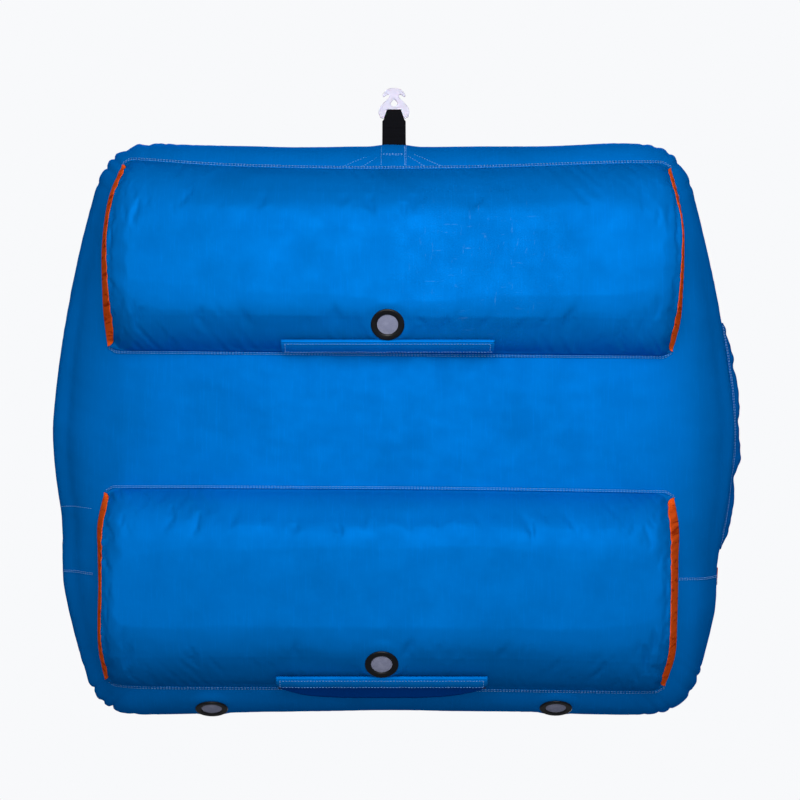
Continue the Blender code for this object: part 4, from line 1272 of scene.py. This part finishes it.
def build_handle(prefix, x):
    """Grab handle: knuckle guard, webbing, ribbed foam grip and sewn anchors."""
    guard, grid = draped(prefix + "_knuckle_pad", (x, HANDLE_Y), 0.100, 0.058, 0.030, 0.0010, 0.0056, 50, 36)
    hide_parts(prefix + "_handle_guard")
    normal = surface_normal(upper_skin, x, HANDLE_Y, False)
    pivot = Vector((x, HANDLE_Y, float(upper_skin(x, HANDLE_Y)))) + normal * 0.0124
    turn = Vector((0.0, 0.0, 1.0)).rotation_difference(normal).to_matrix()
    half = [
        (-0.0760, -0.0050, 0.0040), (-0.0760, -0.0020, 0.0052), (-0.0758, 0.0040, 0.0072),
        (-0.0750, 0.0120, 0.0108), (-0.0710, 0.0240, 0.0122), (-0.0620, 0.0340, 0.0122),
        (-0.0500, 0.0380, 0.0122),
    ]
    shape = half + [(-a, b, w) for a, b, w in half[::-1]]
    line = smooth_path(shape, 5)
    path = np.array([turn @ Vector((a, 0.0, b)) + pivot for a, b, w in line])
    side = turn @ Vector((0.0, 1.0, 0.0))
    body = prefix + "_handle"
    strap = prefix + "_handle_webbing"
    obj = band(strap, path, side, line[:, 2], WEBBING, "webbing", body, 9)
    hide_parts(prefix + "_handle_strap")
    along = turn @ Vector((1.0, 0.0, 0.0))
    ribs = []
    for i in range(49):
        spot = -0.0460 + 0.092 * i / 48
        swell = 0.0007 * math.cos(spot * 2 * math.pi / 0.0115)
        ease = min(1.0, (0.0462 - abs(spot)) / 0.003)
        ribs.append((0.0152 + 0.0012 * ease + swell * ease, spot))
    profile = [(0.0133, -0.0466)] + ribs + [(0.0133, 0.0466)]
    centre = pivot + normal * 0.038
    grip = turned(prefix + "_grip_sleeve", profile, centre, along, "grip", body, 40)
    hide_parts(prefix + "_handle_grip")

    stitch_handle(prefix, pivot, normal, along, grid)


def stitch_handle(prefix, pivot, normal, along, grid):
    """A handle's two sewn anchors, and the stitches round its knuckle guard."""
    lugs = Stitches(prefix + "_anchor_thread", "tube", 0.0005, 0.0050, 0.0034)
    for way, end in ((-1, "left"), (1, "right")):
        foot = pivot + along * (way * 0.076) - normal * 0.0050
        ends = np.array([foot + along * (way * d) for d in (-0.004, 0.002, 0.010, 0.020)])
        widths = [0.0085, 0.0125, 0.0125, 0.0125]
        band(f"{prefix}_anchor_{end}", ends, (0.0, 1.0, 0.0), widths, 0.0020, "webbing")
        for sign in (-1, 1):
            step = Vector((0, sign * 0.008, 0))
            lugs.row(smooth_path(np.array([ends[0] + step, ends[-1] - step]), 8), normal, 0.0012)
    lugs.build()
    border = Stitches(prefix + "_knuckle_thread", "tube", 0.0005, 0.0056, 0.0038)
    inner = grid[5:-5, 5:-5]
    sides = [inner[0], inner[:, -1], inner[-1][::-1], inner[:, 0][::-1]]
    border.row(np.concatenate(sides), normal, 0.0006)
    border.build()


def repaint(node, material):
    """Gives a CAD node a better material."""
    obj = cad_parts[node]
    obj.material_slots[0].link = "OBJECT"
    obj.material_slots[0].material = MATERIALS[material]


# ---------------------------------------------------------------- assembly


def build_body():
    bottom = body_half("bottom_shell", False, "bottom_cover")
    top = body_half("top_shell", True, "top_cover")


PIPING_STEPS = 720


def build_piping():
    """Orange cord in the seam between the bottom and top covers."""
    ring, places = outline(PIPING_STEPS)
    share = float(side_share(SEAM_HEIGHT - EQUATOR))
    along = (np.roll(ring, -1, axis=0) - np.roll(ring, 1, axis=0))
    along /= np.linalg.norm(along, axis=1, keepdims=True)
    out = np.stack([along[:, 1], -along[:, 0]], -1)
    rows = []
    seam = np.concatenate([ring * share, np.full((len(ring), 1), SEAM_HEIGHT)], 1)
    lift = gathers(places, np.zeros_like(places), corner_weight(seam))
    for k in range(8):
        angle = 2 * math.pi * k / 8
        spot = ring * share + out * (0.0002 + 0.0018 * math.cos(angle) + 0.9 * lift[:, None])
        height = np.full((len(spot), 1), SEAM_HEIGHT + 0.0018 * math.sin(angle))
        rows.append(np.concatenate([spot, height], 1))
    rows.append(rows[0])
    faces = grid_faces(len(rows), PIPING_STEPS, wrap=True)
    obj = add_mesh("seam_piping", np.array(rows), faces, "orange")
    face_out(obj)
    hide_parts("cover_piping")


def build_all():
    build_body()
    build_piping()
    stitches = Stitches("seam_thread")
    for seed, pad in ((101, "front"), (151, "rear")):
        points, b = build_pad(pad, seed)
        build_gussets(pad, points, b, seed)
        build_pad_seams(pad, stitches)
    build_side_seams(stitches)
    build_tow_stitches(stitches)
    stitches.build()
    for name in DRAINS:
        build_drain(name)
    for pad in PADS:
        build_float_bladder(pad)
    build_flap("front", -0.012, 0.215, -0.172, 0.0, 201, 0.026)
    build_flap("rear", -0.024, 0.214, 0.5055, -0.20, 211, 0.021, 0.027)
    build_tow_strap()
    build_connector()
    grid = build_side_flap()
    build_side_hem(grid)
    build_zip_tab()
    for prefix, x in HANDLE_XS.items():
        build_handle(prefix, x)
    for side, name in ((-1, "left"), (1, "right")):
        centre = (side * 0.300, 0.110)
        pad = draped(name + "_rider_pad", centre, 0.225, 0.250, 0.060, 0.0016, 0.0084, 90, 90)[0]
        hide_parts(name + "_deck_pad")
    for node, material in (
        ("front_pad_zip_tape", "zip"), ("rear_pad_zip_tape", "zip"), ("side_zip_tape", "zip"),
        ("front_pad_zip_slider", "black_plastic"), ("rear_pad_zip_slider", "black_plastic"),
        ("side_zip_slider", "black_plastic"), ("side_zip_pull", "black_plastic"),
        ("tow_webbing_tail", "webbing"), ("main_bladder", "film"),
        ("front_pad_valve", "valve"), ("rear_pad_valve", "valve"),
        ("valve_base", "valve"), ("valve_insert", "black_plastic"), ("valve_cap", "valve"),
    ):
        repaint(node, material)
    for name in DRAINS:
        repaint(name + "_drain_backing", "black_plastic")


# ---------------------------------------------------------------- studio


def build_floor():
    """Pale, mostly glowing ground that doesn't light the tube and can't be seen from below."""
    corners = [(x * FLOOR_HALF, y * FLOOR_HALF, -0.0005) for x, y in ((-1, -1), (1, -1), (1, 1), (-1, 1))]
    mesh = bpy.data.meshes.new("studio_floor")
    mesh.from_pydata(corners, [], [(0, 1, 2, 3)])
    obj = linked(bpy.data.objects.new("studio_floor", mesh))
    material = bpy.data.materials.new("studio_floor")
    material.use_nodes = True
    tree = material.node_tree
    tree.nodes.clear()
    out = tree.nodes.new("ShaderNodeOutputMaterial")
    mix = tree.nodes.new("ShaderNodeMixShader")
    paint = tree.nodes.new("ShaderNodeBsdfDiffuse")
    clear = tree.nodes.new("ShaderNodeBsdfTransparent")
    side = tree.nodes.new("ShaderNodeNewGeometry")
    glow = tree.nodes.new("ShaderNodeEmission")
    soft = tree.nodes.new("ShaderNodeMixShader")
    paint.inputs["Color"].default_value = (0.80, 0.80, 0.81, 1.0)
    glow.inputs["Color"].default_value = (0.95, 0.955, 0.965, 1.0)
    soft.inputs["Fac"].default_value = 0.68
    for start, end in (
        (side.outputs["Backfacing"], mix.inputs["Fac"]),
        (paint.outputs["BSDF"], soft.inputs[1]),
        (glow.outputs["Emission"], soft.inputs[2]),
        (soft.outputs["Shader"], mix.inputs[1]),
        (clear.outputs["BSDF"], mix.inputs[2]),
        (mix.outputs["Shader"], out.inputs["Surface"]),
    ):
        tree.links.new(start, end)
    mesh.materials.append(material)
    obj.visible_shadow = False
    obj.visible_diffuse = False
    obj.visible_glossy = False
    obj.visible_transmission = False


def area_light(name, location, target, size, power):
    """Square soft light that the camera doesn't see."""
    data = bpy.data.lights.new(name, "AREA")
    data.shape = "RECTANGLE"
    data.size = size
    data.size_y = size
    data.energy = power
    obj = linked(bpy.data.objects.new(name, data))
    obj.location = location
    aim = Vector(target) - Vector(location)
    obj.rotation_euler = aim.to_track_quat("-Z", "Y").to_euler()
    obj.visible_camera = False


def build_world():
    """White backdrop that lights the tube less than the camera sees."""
    world = bpy.data.worlds.new("studio")
    bpy.context.scene.world = world
    world.use_nodes = True
    tree = world.node_tree
    background = tree.nodes["Background"]
    background.inputs["Color"].default_value = linear((248, 249, 251))
    path = tree.nodes.new("ShaderNodeLightPath")
    strength = tree.nodes.new("ShaderNodeMapRange")
    strength.inputs["To Min"].default_value = 0.20
    strength.inputs["To Max"].default_value = 1.0
    tree.links.new(path.outputs["Is Camera Ray"], strength.inputs["Value"])
    tree.links.new(strength.outputs["Result"], background.inputs["Strength"])


def build_studio():
    """Floor, backdrop, lights below and above, and the photo's camera under the tube."""
    scene = bpy.context.scene
    scene.view_settings.view_transform = "Standard"
    scene.view_settings.look = "None"
    build_floor()
    build_world()
    centre = (0.0, 0.0, 0.10)
    area_light("under_key", (0.15, -1.30, -2.25), centre, 1.8, 55.0)
    area_light("under_fill", (0.1, 0.1, -3.9), centre, 2.0, 44.0)
    area_light("over_key", (-1.3, -1.6, 3.4), centre, 2.2, 70.0)
    area_light("over_fill", (1.4, 1.2, 3.2), centre, 2.2, 45.0)
    sun = bpy.data.lights.new("over_sun", "SUN")
    sun.energy = 1.6
    sun.angle = 0.5
    lamp = linked(bpy.data.objects.new("over_sun", sun))
    lamp.rotation_euler = (0.35, 0.20, 0.0)

    camera = bpy.data.cameras.new("camera")
    camera.lens = 72.0
    camera.sensor_width = 36.0
    camera.clip_end = 200.0
    obj = linked(bpy.data.objects.new("camera", camera))
    obj.location = (0.0128, -0.0104, -3.182)
    obj.rotation_euler = (math.pi, 0.0, 0.0)
    scene.camera = obj


build_all()
build_studio()
